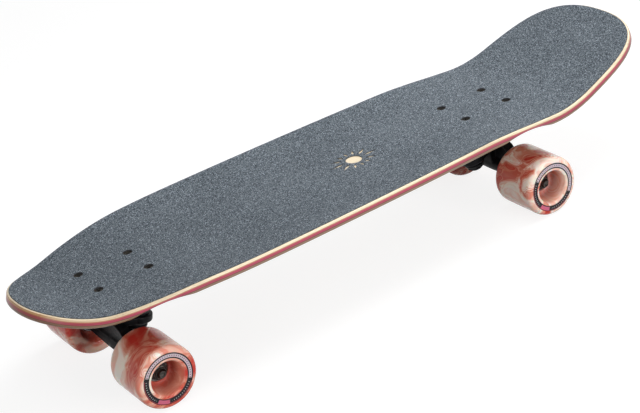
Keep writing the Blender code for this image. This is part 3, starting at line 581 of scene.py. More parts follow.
def softened(points, radius):
    """A closed profile with each corner off the axis replaced by a short curve."""
    made = []
    for before, corner, after in zip(points[-1:] + points[:-1], points, points[1:] + points[:1]):
        here = Vector(corner)
        back, on = Vector(before) - here, Vector(after) - here
        if corner[0] <= 0 or min(back.length, on.length) < 1e-7:
            made.append(corner)
            continue
        start = here + back.normalized() * min(radius, 0.45 * back.length)
        end = here + on.normalized() * min(radius, 0.45 * on.length)
        for step in range(CORNER_STEPS + 1):
            t = step / CORNER_STEPS
            point = start * (1 - t) ** 2 + here * 2 * t * (1 - t) + end * t**2
            made.append((point.x, point.y))
    return made


def mirrored(half):
    """A whole profile from its high half."""
    return [(radius, -height) for radius, height in reversed(half)] + half


def quarter_round(radius):
    """The points of a rounded corner, each as its distances in from one face and from the other."""
    turns = [math.pi / 2 * step / ROUND_STEPS for step in range(ROUND_STEPS + 1)]
    return [(radius * (1 - math.sin(turn)), radius * (1 - math.cos(turn))) for turn in turns]


def rod(radius, low, high):
    """The profile of a plain rod."""
    return [(0, low), (radius, low), (radius, high), (0, high)]


def thread(radius, low, high, pitch, depth):
    """The zigzag outside of a screw thread, from its low end to its high one."""
    turns = max(1, round((high - low) / pitch))
    points = []
    for i in range(turns):
        base = low + (high - low) * i / turns
        points += [(radius - depth, base), (radius, base + (high - low) / turns / 2)]
    return points + [(radius - depth, high)]


def add_face(bm, corners):
    """A face on the distinct ones of its corners, or none where they are on one edge."""
    distinct = list(dict.fromkeys(corners))
    if len(distinct) > 2:
        bm.faces.new(distinct)


def lathe(rings, segments=64):
    """A closed bmesh turned about Z. A ring is a (radius, height), or a function of the angle giving one."""
    bm = bmesh.new()
    angles = [2 * math.pi * i / segments for i in range(segments)]
    rows = []
    for ring in rings:
        points = [ring(angle) if callable(ring) else ring for angle in angles]
        if max(radius for radius, _ in points) <= 0:
            rows.append([bm.verts.new((0, 0, points[0][1]))])
            continue
        places = [(r * math.cos(a), r * math.sin(a), z) for a, (r, z) in zip(angles, points)]
        rows.append([bm.verts.new(place) for place in places])
    for row, after in zip(rows, rows[1:] + rows[:1]):
        for i in range(segments):
            j = (i + 1) % segments
            add_face(bm, [row[i % len(row)], row[j % len(row)], after[j % len(after)], after[i % len(after)]])
    return bm


def loft(loops):
    """A closed bmesh through loops of points, with a face on the first and the last."""
    bm = bmesh.new()
    rows = [[bm.verts.new(point) for point in loop] for loop in loops]
    bm.faces.new(rows[0])
    bm.faces.new(rows[-1])
    for row, after in zip(rows, rows[1:]):
        for i in range(len(row)):
            j = (i + 1) % len(row)
            bm.faces.new([row[i], row[j], after[j], after[i]])
    return bm


def prism(outline, low, high, taper=1.0):
    """A closed bmesh between two heights, with its low end scaled by the taper."""
    base = [(x * taper, y * taper, low) for x, y in outline]
    return loft([base, [(x, y, high) for x, y in outline]])


def square(half):
    return [(-half, -half), (half, -half), (half, half), (-half, half)]


def rounded_rectangle(length, width, corner):
    points = []
    for quarter in range(4):
        sign_x = 1 if quarter in (0, 3) else -1
        sign_y = 1 if quarter in (0, 1) else -1
        centre = Vector((sign_x * (length / 2 - corner), sign_y * (width / 2 - corner)))
        for step in range(PLATE_CORNER_STEPS + 1):
            angle = math.pi / 2 * (quarter + step / PLATE_CORNER_STEPS)
            points.append(centre + corner * Vector((math.cos(angle), math.sin(angle))))
    return points


def hexagonal(corner_radius, low, high, bore, collar=0.0):
    """A nut or a bolt head with its corners turned off, and for a lock nut a collar on its high side."""
    flat = corner_radius * math.cos(math.pi / 6)
    face = corner_radius * HEX_FACE_SHARE

    def reach(angle):
        return flat / math.cos((angle % (math.pi / 3)) - math.pi / 6)

    def drop(angle):
        return (reach(angle) - face) * 0.55

    rings = [(bore, low), (face, low), lambda a: (reach(a), low + drop(a))]
    rings += [lambda a: (reach(a), high - drop(a)), (face, high)]
    if collar:
        neck = face * 0.93
        rings += [(neck, high + 0.0001), (neck, high + collar * 0.6), (neck * 0.93, high + collar)]
        rings += [((bore + neck) / 2, high + collar), (bore + 0.0002, high + collar * 0.5)]
    rings.append((bore, high))
    return lathe(rings, 72)


def blade(points, half_thickness, plane="XZ"):
    """A plate with an outline in the XZ or YZ plane and a thickness across it."""
    bm = prism(points, -half_thickness, half_thickness)
    if plane == "XZ":
        return moved(bm, Matrix(((1, 0, 0, 0), (0, 0, 1, 0), (0, 1, 0, 0), (0, 0, 0, 1))))
    return moved(bm, Matrix(((0, 0, 1, 0), (1, 0, 0, 0), (0, 1, 0, 0), (0, 0, 0, 1))))


def half_width(x):
    """Half the deck's width at a distance ahead of the wheelbase's middle."""
    if x > WIDEST_AHEAD_OF_MIDDLE:
        tip = WHEELBASE / 2 + NOSE_OVERHANG
        share = min(1.0, (x - WIDEST_AHEAD_OF_MIDDLE) / (tip - WIDEST_AHEAD_OF_MIDDLE))
        return DECK_HALF_WIDTH * (1 - share**NOSE_POWER) ** (1 / NOSE_ROOT)
    back = WIDEST_AHEAD_OF_MIDDLE - x
    width = DECK_HALF_WIDTH - TAIL_TAPER * back - TAIL_TAPER_CURVE * back**2
    end_start = WHEELBASE / 2 + TAIL_OVERHANG - TAIL_END_LENGTH
    share = min(1.0, max(0.0, (-x - end_start) / TAIL_END_LENGTH))
    return width * (1 - share**TAIL_POWER) ** (1 / TAIL_ROOT)


def kick(beyond, angle, radius):
    """The rise and slope at a distance beyond the start of a kick."""
    if beyond <= 0:
        return 0.0, 0.0
    arc = radius * math.sin(angle)
    if beyond < arc:
        return radius - math.sqrt(radius**2 - beyond**2), beyond / math.sqrt(radius**2 - beyond**2)
    return radius * (1 - math.cos(angle)) + (beyond - arc) * math.tan(angle), math.tan(angle)


def spine(x):
    """The rise and slope of the deck's middle line."""
    start, angle, radius = NOSE_KICK if x > 0 else TAIL_KICK
    rise, slope = kick(abs(x) - WHEELBASE / 2 - start, angle, radius)
    return rise, slope if x > 0 else -slope


def concave(x, y, width):
    """The rise of the deck towards its rails."""
    flat = min(FLAT_HALF_WIDTH, width / 2)
    if abs(y) <= flat:
        return 0.0
    share = (abs(x) - WHEELBASE / 2 - CONCAVE_FADE_MIDDLE + CONCAVE_FADE) / (2 * CONCAVE_FADE)
    share = min(1.0, max(0.0, share))
    fade = 1 - share**2 * (3 - 2 * share)
    return CONCAVE_RISE * fade * ((abs(y) - flat) / (width - flat)) ** 2


def deck_point(x, y, width, depth):
    """A point of the deck at a depth below the top, where width is half the deck's width there."""
    rise, slope = spine(x)
    length = math.hypot(1, slope)
    z = TOP_HEIGHT + rise + concave(x, y, width)
    return Vector((MIDDLE_X + x + depth * slope / length, y, z - depth / length))


def bottom_depth(x, y):
    """Depth of the board's underside: its whole thickness, or less in a wheel well, with a soft crease."""
    nearest = math.copysign(WHEELBASE / 2 - WELL_INSET, x)
    across = x - nearest
    if abs(across) >= WELL_RADIUS:
        return WHOLE_THICKNESS
    width = half_width(nearest)
    rail = deck_point(nearest, width, width, WHOLE_THICKNESS)
    axis_height = rail.z + WELL_DEPTH - WELL_RADIUS
    height = math.sqrt(WELL_RADIUS**2 - across**2) + math.sin(WELL_TILT) * (abs(y) - width)
    well = TOP_HEIGHT + concave(x, y, half_width(x)) - axis_height - height / math.cos(WELL_TILT)
    overlap = max(0.0, WELL_CREASE - abs(well - WHOLE_THICKNESS)) / WELL_CREASE
    return min(well, WHOLE_THICKNESS) - overlap**2 * WELL_CREASE / 4


def outline_point(row):
    """The outline's place and its outward normal on the left side, at a row from tail to nose."""
    nose = WHEELBASE / 2 + NOSE_OVERHANG
    tail = -WHEELBASE / 2 - TAIL_OVERHANG

    def at(where):
        share = min(1, max(0, where / ROWS))
        x = (nose + tail) / 2 + (nose - tail) / 2 * math.sin(math.pi * (share - 0.5))
        return Vector((x, half_width(x)))

    if row in (0, ROWS):
        return at(row), Vector((1 if row else -1, 0))
    run = (at(row + 0.5) - at(row - 0.5)).normalized()
    return at(row), Vector((-run.y, run.x))


def shell(profile, columns, floor):
    """The board's outline as a closed bmesh: an edge profile of (inset, depth) points, a top and a bottom.

    profile(bottom) gives the points from the top's edge to the bottom's, where bottom is the local depth,
    and floor(x, y) gives that depth. columns has the number across the top and across the bottom.
    Each vertex keeps its depth in the layer ply_depth.
    """
    bm = bmesh.new()
    layer = bm.verts.layers.float.new("ply_depth")

    def vertex(x, y, depth):
        made = bm.verts.new(deck_point(x, y, max(half_width(x), abs(y), 0.001), depth))
        made[layer] = depth
        return made

    rows = []
    for row in range(ROWS + 1):
        (x, width), normal = outline_point(row)
        places = []
        for inset, depth in profile(floor(x, width)):
            places.append((x - inset * normal.x, max(0.0, width - inset * normal.y), depth))
        if row in (0, ROWS):
            side = [vertex(px, 0.0, depth) for px, _, depth in places]
            rows.append((side, side, [side[0]], [side[-1]]))
            continue
        left = [vertex(px, py, depth) for px, py, depth in places]
        right = [vertex(px, -py, depth) for px, py, depth in places]
        sheets = []
        for end, count in zip((0, -1), columns):
            px, py, depth = places[end]
            inner = []
            for column in range(1, count):
                y = py * (2 * column / count - 1)
                inner.append(vertex(px, y, floor(px, y) if end else depth))
            sheets.append([right[end], *inner, left[end]])
        rows.append((left, right, *sheets))
    for before, after in zip(rows, rows[1:]):
        for first, second in zip(before, after):
            for i in range(max(len(first), len(second)) - 1):
                corners = [first[min(i, len(first) - 1)], first[min(i + 1, len(first) - 1)]]
                corners += [second[min(i + 1, len(second) - 1)], second[min(i, len(second) - 1)]]
                add_face(bm, corners)
    return bm


def board_profile(bottom):
    """The board's edge, rounded above and below."""
    points = [(inset, BOARD_TOP + depth) for inset, depth in quarter_round(TOP_ROUND)]
    points.append((0.0, (BOARD_TOP + TOP_ROUND + bottom - BOTTOM_ROUND) / 2))
    points += [(inset, bottom - depth) for inset, depth in reversed(quarter_round(BOTTOM_ROUND))]
    return points


def sheet_profile(bottom):
    """The grip tape's edge, with a small bevel above."""
    return [(SHEET_INSET + SHEET_EDGE, 0.0), (SHEET_INSET, SHEET_EDGE), (SHEET_INSET, bottom)]


def piece(name, mesh, body, nodes, slot, matrix=Matrix.Identity(4), bend=()):
    """A visible object for the CAD nodes it names. It rides a body; given a bend, it is only laid in place in
    the world and rides no body.
    """
    obj = bpy.data.objects.new(name, mesh)
    bpy.context.scene.collection.objects.link(obj)
    obj.matrix_world = matrix
    if bend:
        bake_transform(obj)
    else:
        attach(obj, body)
    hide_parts(*nodes)


def bolt_places():
    """The deck bolts' places, each with the name of its truck and its corner."""
    for truck, sign in (("front", 1), ("rear", -1)):
        for end, along in (("outer", 1), ("inner", -1)):
            for side, left in (("left", 1), ("right", -1)):
                x = MIDDLE_X + sign * (WHEELBASE / 2 + along * BOLT_SPACING_X / 2)
                yield f"{truck}_{end}_{side}", Vector((x, left * BOLT_SPACING_Y / 2, 0))


def sun_ray(angle):
    """The outline of one ray of the sunburst, about its centre."""
    reach = 1 / math.hypot(math.cos(angle) / SUN_HALF_LENGTH, math.sin(angle) / SUN_HALF_WIDTH)
    waist = SUN_RAY_START + (reach - SUN_RAY_START) / 3
    outward = Vector((math.cos(angle), math.sin(angle)))
    aside = Vector((-outward.y, outward.x)) * SUN_RAY_HALF_WIDTH
    return [outward * SUN_RAY_START, outward * waist - aside, outward * reach, outward * waist + aside]


def with_skirts(sheet):
    """The sheet with the torn collars that the bolt heads drag down into the wood."""
    skirts = []
    top, low = TOP_HEIGHT - SHEET_BOTTOM, BOLT_HEAD_TOP - 0.0001
    inner, outer = SHEET_HOLE_RADIUS - 0.0001, SHEET_HOLE_RADIUS + 0.0002
    for _, place in bolt_places():
        collar = lathe([(inner, low), (outer, low), (outer, top), (inner + 0.0001, top)], 40)
        skirts.append(moved(collar, Matrix.Translation(place)))
    whole = bmesh.new()
    whole.from_mesh(sheet)
    count = len(whole.faces)
    whole.from_mesh(finished_mesh("collars", joined(skirts), []))
    whole.faces.ensure_lookup_table()
    for face in whole.faces[count:]:
        face.material_index = 1
    whole.to_mesh(sheet)
    whole.free()
    return sheet


def make_deck(plies, edge, grit):
    """The drilled board, and the grip tape with its bolt holes and sunburst."""
    shape = shell(board_profile, BOARD_COLUMNS, bottom_depth)
    above = TOP_HEIGHT + 0.001
    cone = [(0, 0.08), (BOLT_HOLE_RADIUS, 0.08), (BOLT_HOLE_RADIUS, BOLT_HEAD_TOP - BOLT_HEAD_DEPTH)]
    cone += [(BOLT_HEAD_RADIUS + GAP, BOLT_HEAD_TOP), (BOLT_HEAD_RADIUS + GAP, above - BOARD_TOP)]
    cone.append((0, above - BOARD_TOP))
    drills, punches = [], []
    for _, place in bolt_places():
        drills.append(moved(lathe(cone, 40), Matrix.Translation(place)))
        hole = lathe(rod(SHEET_HOLE_RADIUS, TOP_HEIGHT - 0.002, above), 40)
        punches.append(moved(hole, Matrix.Translation(place)))
    board = cut(finished_mesh("deck_board", shape, [plies], 50.0), joined(drills), sharp=50.0)
    piece("deck_board", board, "board", ["deck"], "maple")
    centre = Matrix.Translation((MIDDLE_X - SUN_BEHIND_MIDDLE, 0, 0))
    punches.append(moved(lathe(rod(SUN_DISC_RADIUS, TOP_HEIGHT - 0.002, above)), centre))
    for i in range(SUN_RAYS):
        ray = prism(sun_ray(2 * math.pi * i / SUN_RAYS), TOP_HEIGHT - 0.002, above)
        punches.append(moved(ray, centre))
    shape = shell(sheet_profile, SHEET_COLUMNS, lambda x, y: SHEET_BOTTOM)
    sheet = cut(finished_mesh("grip_sheet", shape, [grit, edge], 50.0), joined(punches), sharp=40.0)
    for face in sheet.polygons:
        face.material_index = 0 if face.normal.z > 0.7 else 1
    piece("grip_sheet", with_skirts(sheet), "board", ["grip_tape"], "grip")


def cross_recess():
    """The cutter for a cross-head driver's recess, narrow at its low end."""
    arm, waist, depth = 0.0025, 0.00058, 0.0017
    outline = [(arm, -waist), (arm, waist), (waist, waist), (waist, arm), (-waist, arm), (-waist, waist)]
    outline += [(-x, -y) for x, y in outline]
    return prism(outline, BOLT_HEAD_TOP - depth, BOLT_HEAD_TOP + 0.0002, 0.5)


def make_hardware(black):
    """The eight countersunk bolts and their lock nuts."""
    neck = BOLT_HEAD_TOP - BOLT_HEAD_DEPTH
    profile = [(0, BOLT_TAIL), *thread(BOLT_RADIUS, BOLT_TAIL + 0.0003, RISER_TOP, 0.0008, 0.00028)]
    profile += [(BOLT_RADIUS, RISER_TOP + 0.0001), (BOLT_RADIUS, neck)]
    profile += [(BOLT_HEAD_RADIUS, BOLT_HEAD_TOP - 0.00025), (BOLT_HEAD_RADIUS - 0.0002, BOLT_HEAD_TOP)]
    profile.append((0, BOLT_HEAD_TOP))
    bolt = cut(finished_mesh("deck_bolt", lathe(profile, 40), [black]), cross_recess())
    low, high, collar = LOCK_NUT_TOP - LOCK_NUT_HEIGHT, LOCK_NUT_TOP, 0.0016
    shape = hexagonal(LOCK_NUT_RADIUS, -high, -low - collar, BOLT_RADIUS + 0.0001, collar)
    nut = finished_mesh("lock_nut", moved(shape, UPSIDE_DOWN), [black])
    for name, place in bolt_places():
        where = Matrix.Translation(place) @ Matrix.Rotation(place.x * 31 + place.y * 47, 4, "Z")
        piece(f"bolt_{name}", bolt.copy(), "board", [f"deck_bolt_{name}"], "black_steel", where)
        piece(f"nut_{name}", nut.copy(), "board", [f"lock_nut_{name}"], "black_steel", where)


def plate_drills(radius, low, high, segments=32):
    """Four rods in one bmesh, on the bolt pattern."""
    made = []
    for x in (-BOLT_SPACING_X / 2, BOLT_SPACING_X / 2):
        for y in (-BOLT_SPACING_Y / 2, BOLT_SPACING_Y / 2):
            made.append(moved(lathe(rod(radius, low, high), segments), Matrix.Translation((x, y, 0))))
    return joined(made)


def riser_mesh(surface):
    """A rubber pad with well rounded lower edges."""
    edge, roll, margin = 0.0005, 0.0022, 0.0005
    levels = [(inset, RISER_BOTTOM + depth) for inset, depth in quarter_round(roll)]
    levels += [(0, RISER_TOP - edge), (edge, RISER_TOP)]
    loops = []
    for inset, height in levels:
        grow = 2 * (margin - inset)
        outline = rounded_rectangle(PLATE_LENGTH + grow, PLATE_WIDTH + grow, PLATE_CORNER)
        loops.append([(x, y, height) for x, y in outline])
    mesh = finished_mesh("riser_pad", loft(loops), [surface], 50.0)
    drills = plate_drills(BOLT_HOLE_RADIUS, RISER_BOTTOM - 0.002, RISER_TOP + 0.002)
    return cut(mesh, drills, sharp=50.0)


def along(direction, origin):
    """A matrix that lays Z along a direction from an origin."""
    turn = Vector((0, 0, 1)).rotation_difference(direction)
    return Matrix.Translation(origin) @ turn.to_matrix().to_4x4()


def directions():
    """Matrices from the ring's middle along the kingpin, along the steering axis, and along the axle."""
    kingpin = Vector((-math.sin(KINGPIN_LEAN), 0, math.cos(KINGPIN_LEAN)))
    steer = Vector((math.cos(STEER_ANGLE), 0, math.sin(STEER_ANGLE)))
    return along(kingpin, RING_CENTRE), along(steer, RING_CENTRE), along(Vector((0, 1, 0)), AXLE_CENTRE)


def baseplate_mesh(surface):
    """The plate with its kingpin boss, pivot housing and ribs, fused, then machined."""
    along_kingpin, along_steer, _ = directions()
    mouth = PIVOT_REACH + GAP + CUP_WALL - CUP_LENGTH
    flange, boss_end, housing_end = BOSS_RADIUS + 0.0035, 0.056, 0.070
    boss = [(0, BOSS_HEIGHT), (BOSS_RADIUS - 0.001, BOSS_HEIGHT), (BOSS_RADIUS, BOSS_HEIGHT + 0.001)]
    boss += [(flange, 0.036), (flange, boss_end), (0, boss_end)]
    housing = [(0, mouth), (HOUSING_RADIUS - 0.001, mouth), (HOUSING_RADIUS, mouth + 0.001)]
    housing += [(HOUSING_RADIUS + 0.001, 0.050), (HOUSING_RADIUS, housing_end), (0, housing_end)]
    plate = rounded_rectangle(PLATE_LENGTH, PLATE_WIDTH, PLATE_CORNER)
    shapes = [prism(plate, PLATE_BOTTOM, PLATE_TOP + 0.003)]
    shapes += [moved(lathe(boss), along_kingpin), moved(lathe(housing), along_steer)]

    def rib(points, half_thickness, plane="XZ", place=(0, 0, 0)):
        """A plate whose points are given as a distance along and a drop below the baseplate's inside."""
        outline = [(x, PLATE_BOTTOM + 0.001 - drop) for x, drop in points]
        shapes.append(moved(blade(outline, half_thickness, plane), Matrix.Translation(place)))

    rib([(-0.020, 0), (0.030, 0), (0.022, 0.0082), (-0.010, 0.0082)], 0.0035)
    for side in (-1, 1):
        brace = [(-0.034, 0), (-0.008, 0), (-0.012, 0.0107), (-0.018, 0.0107)]
        rib(brace, 0.0022, "XZ", (0, side * 0.0105, 0))
        ear = [(side * 0.010, 0), (side * 0.025, 0), (side * 0.012, 0.0107), (side * 0.008, 0.0127)]
        rib(ear, 0.0022, "YZ", (-0.020, 0, 0))
        rib([(side * 0.006, 0), (side * 0.024, 0), (side * 0.006, 0.0092)], 0.0024, "YZ", (0.026, 0, 0))
    mesh = cast("baseplate_casting", shapes, surface, 7)
    socket = rod(PIVOT_PIN_RADIUS + 2 * GAP + CUP_WALL, 0, PIVOT_REACH + 2 * GAP + CUP_WALL)
    tools = [
        prism(square(0.08), PLATE_TOP, PLATE_TOP + 0.08),
        moved(lathe(rod(KINGPIN_RADIUS + GAP, 0, 0.06), 48), along_kingpin),
        moved(lathe(socket, 48), along_steer),
        plate_drills(BOLT_HOLE_RADIUS, PLATE_BOTTOM - 0.03, PLATE_TOP + 0.01),
        plate_drills(NUT_SEAT_RADIUS, PLATE_BOTTOM - 0.012, PLATE_BOTTOM + 0.0001, 48),
    ]
    return cut(mesh, *tools, sharp=40.0)


def hanger_mesh(surface):
    """The cast hanger: tube, web, bushing ring on its arm, pivot stem, and the fine ribs along the tube."""
    along_kingpin, along_steer, along_axle = directions()
    half, end, middle = TUBE_HALF_LENGTH, TUBE_END_RADIUS, TUBE_MIDDLE_RADIUS
    tube = [(middle, 0.006), (end, half - 0.006), (end, half - 0.0005), (end - 0.0005, half), (0, half)]
    edge = [(0.049, 0.036), (0.049, 0.0395), (0.040, 0.0470)]
    edge += [(0.028, 0.0572), (0.018, 0.0615), (0.010, 0.0632)]
    web = blade(edge + [(-y, z) for y, z in reversed(edge)], 0.0036, "YZ")
    for vert in web.verts:
        vert.co.x += AXLE_OFFSET + 0.0030 * (vert.co.z - WHEEL_RADIUS) / 0.032
    ring = softened(rod(RING_RADIUS, -RING_HALF, RING_HALF), 0.0012)
    reach = (AXLE_OFFSET - RING_CENTRE.x) / math.cos(KINGPIN_LEAN)
    arm_half = RING_HALF - 0.0003
    arm = prism([(0, -0.0150), (reach, -0.0125), (reach, 0.0125), (0, 0.0150)], -arm_half, arm_half)
    crown = [(-0.002, 0.0490), (AXLE_OFFSET, 0.0480), (AXLE_OFFSET + 0.003, 0.0620), (0.006, 0.0585)]
    back = AXLE_OFFSET - middle + 0.0005
    slope = math.tan(KINGPIN_LEAN)
    gusset = [(back, WHEEL_RADIUS), (AXLE_OFFSET, WHEEL_RADIUS)]
    gusset += [(x, RING_CENTRE.z + (x - RING_CENTRE.x) * slope - 0.001) for x in (AXLE_OFFSET, back)]
    pin, tip = PIVOT_PIN_RADIUS, PIVOT_PIN_RADIUS / 2
    stem = [(0, 0.0200), (0.0078, 0.0200), (0.0068, 0.0300), (pin, PIVOT_REACH - PIVOT_PIN_LENGTH)]
    stem += [(pin, PIVOT_REACH - tip), (tip * 1.4, PIVOT_REACH - tip * 0.3), (0, PIVOT_REACH)]
    shapes = [moved(lathe(mirrored(tube), 72), along_axle), web, moved(lathe(ring, 96), along_kingpin)]
    shapes += [moved(arm, along_kingpin), blade(crown, 0.0030), blade(gusset, 0.0110)]
    shapes.append(moved(lathe(stem), along_steer))
    for turn in (-62, -8, 44):
        out = Vector((math.cos(math.radians(turn)), 0, math.sin(math.radians(turn))))
        for side in (-1, 1):
            start = AXLE_CENTRE + out * 0.0086 + Vector((0, side * 0.003, 0))
            line = AXLE_CENTRE + out * 0.0070 + Vector((0, side * 0.046, 0)) - start
            shapes.append(moved(lathe(rod(0.0011, 0, line.length), 16), along(line.normalized(), start)))
    ridge = [(0.012, 0.0600), (0.028, 0.0545), (0.047, 0.0375)]
    ridge += [(0.047, 0.0400), (0.029, 0.0580), (0.012, 0.0632)]
    for side in (-1, 1):
        flip = Matrix.Scale(side, 4, (0, 1, 0))
        place = Matrix.Translation((AXLE_OFFSET + 0.0024, 0, -0.0006))
        shapes.append(moved(blade(ridge, 0.0052, "YZ"), place @ flip))
    mesh = cast("hanger_casting", shapes, surface, 5)
    tools = [moved(lathe(rod(RING_HOLE_RADIUS, -0.02, 0.02)), along_kingpin)]
    seat = RING_HALF - RING_SEAT_DEPTH
    for low, high in ((seat, RING_HALF + 0.004), (-RING_HALF - 0.004, -seat)):
        tools.append(moved(lathe(rod(RING_SEAT_RADIUS, low, high)), along_kingpin))
    tools.append(moved(lathe(rod(AXLE_RADIUS + 0.0001, -0.07, 0.07), 48), along_axle))
    return cut(mesh, *tools, sharp=40.0)


def stack_meshes(blackened, rubber):
    """The pieces on the kingpin, each about the ring's middle with the kingpin along Z."""
    bore, loose_bore = KINGPIN_RADIUS + 0.0001, KINGPIN_RADIUS + 0.0012
    seat = BUSHING_SEAT
    high, low = BOARD_BUSHING_END, ROAD_BUSHING_END
    board = [(loose_bore, seat), (0.0108, seat), (0.0114, seat + 0.002), (0.0122, seat + 0.0035)]
    board += [(0.0124, seat + 0.0065), (0.0122, high - 0.001), (0.0115, high), (loose_bore, high)]
    road = [(loose_bore, low), (0.0095, low), (0.0100, low + 0.0008), (0.0110, -seat - 0.0015)]
    road += [(0.0108, -seat), (loose_bore, -seat)]
    cup_top = high + GAP + WASHER_THICKNESS
    cup = [(bore, high + GAP), (0.0122, high + GAP), (0.0128, high - 0.0008), (0.0134, high - 0.0008)]
    cup += [(0.0128, cup_top - 0.0002), (0.0120, cup_top), (bore, cup_top)]
    dish_low = low - GAP - WASHER_THICKNESS
    dish = [(bore, low - GAP), (0.0101, low - GAP), (0.0106, low + 0.0005), (0.0111, low + 0.0005)]
    dish += [(0.0110, dish_low + 0.0004), (0.0102, dish_low), (bore, dish_low)]
    nut_top = dish_low - GAP
    nut_low = nut_top - 0.0050
    tail = nut_low - 0.0008
    corner = KINGPIN_HEAD_RADIUS * math.sin(KINGPIN_LEAN)
    head = (PLATE_TOP - 0.0009 - corner - RING_CENTRE.z) / math.cos(KINGPIN_LEAN) - KINGPIN_HEAD_HEIGHT
    pin = [(0, tail), *thread(KINGPIN_RADIUS, tail + 0.0004, nut_top + 0.002, 0.0012, 0.0004)]
    pin += [(KINGPIN_RADIUS, nut_top + 0.0024), (KINGPIN_RADIUS, head + 0.0005), (0, head + 0.0005)]
    hexagon = hexagonal(KINGPIN_HEAD_RADIUS, head, head + KINGPIN_HEAD_HEIGHT, 0)
    lock = hexagonal(0.0098, -nut_top, -nut_low - 0.0014, bore, 0.0014)
    shapes = {
        "kingpin": joined([lathe(pin, 48), hexagon]),
        "kingpin_nut": moved(lock, UPSIDE_DOWN),
        "board_washer": lathe(softened(cup, 0.0003), 72),
        "road_washer": lathe(softened(dish, 0.0003), 72),
        "board_bushing": lathe(softened(board, 0.0006), 72),
        "road_bushing": lathe(softened(road, 0.0006), 72),
    }
    made = {}
    for name, shape in shapes.items():
        made[name] = finished_mesh(name, shape, [rubber if name.endswith("bushing") else blackened])
    return made


def pivot_cup_mesh(rubber):
    inner = PIVOT_PIN_RADIUS + 0.0001
    outer = PIVOT_PIN_RADIUS + GAP + CUP_WALL
    floor = PIVOT_REACH + GAP
    end = floor + CUP_WALL
    mouth = end - CUP_LENGTH
    profile = [(0, floor), (inner * 0.8, floor), (inner, floor - 0.002), (inner, mouth + 0.0003)]
    profile += [(inner + 0.0004, mouth - 0.0008), (outer + 0.0010, mouth - 0.0008)]
    profile += [(outer + 0.0010, mouth - 0.0001)]
    profile += [(outer, mouth), (outer, end - 0.001), (outer - 0.001, end), (0, end)]
    return finished_mesh("pivot_cup", lathe(softened(profile, 0.0003), 64), [rubber])


def axle_mesh(steel):
    """The axle with its threaded ends and a speed ring at each hub, about its own middle."""
    end = AXLE_LENGTH / 2
    low = TUBE_HALF_LENGTH + GAP
    high = low + 0.0008
    half = [(AXLE_RADIUS, low), (0.0065, low), (0.0065, high), (AXLE_RADIUS, high)]
    half += [(AXLE_RADIUS, end - 0.0130), *thread(AXLE_RADIUS, end - 0.0128, end - 0.0008, 0.00125, 0.0004)]
    half += [(0.0034, end), (0.0022, end), (0.0018, end - 0.0008), (0, end - 0.0012)]
    return finished_mesh("axle_rod", lathe(mirrored(half), 48), [steel], 25.0)


def bearing_mesh(steel, shield):
    """A shielded ball bearing: races, a recessed shield on each side and the grooves between them."""
    bore, outside, half = AXLE_RADIUS + 0.00005, BEARING_RADIUS, BEARING_WIDTH / 2
    side = [(bore, half - 0.0003), (bore + 0.0003, half), (0.0059, half), (0.0060, half - 0.0007)]
    side += [(0.0063, half - 0.0007), (0.0064, half - 0.0003), (0.0090, half - 0.0003)]
    side += [(0.0092, half - 0.0006), (0.0094, half - 0.0006), (0.0095, half)]
    side += [(outside - 0.0003, half), (outside, half - 0.0003)]
    mesh = finished_mesh("ball_bearing", lathe(mirrored(side), 72), [steel, shield], 25.0)
    for face in mesh.polygons:
        reach = Vector((face.center.x, face.center.y)).length
        face.material_index = 1 if 0.0061 < reach < 0.0093 and abs(face.center.z) > half - 0.001 else 0
    return mesh


def spacer_mesh(steel):
    bore = AXLE_RADIUS + 0.0001
    profile = [(bore, -SPACER_HALF), (0.0055, -SPACER_HALF), (0.0055, SPACER_HALF), (bore, SPACER_HALF)]
    return finished_mesh("hub_spacer", lathe(softened(profile, 0.0003), 48), [steel])


def axle_nut_mesh(steel):
    """A washer and a lock nut with a collar, along Z."""
    bore = AXLE_RADIUS + 0.0001
    washer = [(bore, 0), (0.0066, 0), (0.0066, 0.0011), (bore, 0.0011)]
    body = hexagonal(0.0073, 0.0012, 0.0059, bore, 0.0018)
    return finished_mesh("axle_lock_nut", joined([lathe(softened(washer, 0.0002), 48), body]), [steel])


def wheel_mesh(surface):
    """A wheel about its hub's middle with its outer side at +Z."""
    seat, mouth, face = BEARING_SEAT, CUP_MOUTH_RADIUS, WHEEL_OUTER
    bearing_end = HUB_HALF
    lip = WHEEL_RADIUS - WHEEL_FLAT_RADIUS
    cup = [(seat, bearing_end - 0.0006), (seat + 0.0004, bearing_end), (0.0124, bearing_end + 0.0003)]
    cup += [(0.0139, bearing_end + 0.0012), (0.0149, bearing_end + 0.0032), (0.0155, bearing_end + 0.0070)]
    cup += [(mouth - 0.0004, face - 0.0022), (mouth + 0.0002, face - 0.0007), (mouth + 0.0014, face)]
    cup += [(0.0199, face), (0.0202, face - 0.0001), (0.0261, face - 0.0001)]
    outer = []
    for step in range(LIP_STEPS + 1):
        turn = math.pi / 2 * step / LIP_STEPS
        reach = WHEEL_FLAT_RADIUS + lip * math.sin(turn) ** LIP_BULGE
        outer.append((reach, face - WHEEL_LIP * (1 - math.cos(turn) ** LIP_BULGE)))
    inner = [(radius, -WHEEL_INNER + (face - height)) for radius, height in reversed(outer)]
    tread = [(WHEEL_RADIUS, height) for height in (0.020, 0.012, 0.004, -0.004, -0.012)]
    back = [(mouth + 0.0010, -WHEEL_INNER), (mouth, -WHEEL_INNER + 0.0008), (0.0150, -0.0160)]
    back += [(0.0138, -0.0134), (0.0122, -bearing_end), (seat, -bearing_end + 0.0004)]
    core = [(seat, -SPACER_HALF), (seat - 0.0020, -SPACER_HALF)]
    core += [(seat - 0.0020, SPACER_HALF), (seat, SPACER_HALF)]
    shape = lathe(cup + outer + tread + inner + back + core, WHEEL_SEGMENTS)
    return finished_mesh("wheel_cast", shape, [surface], 40.0)


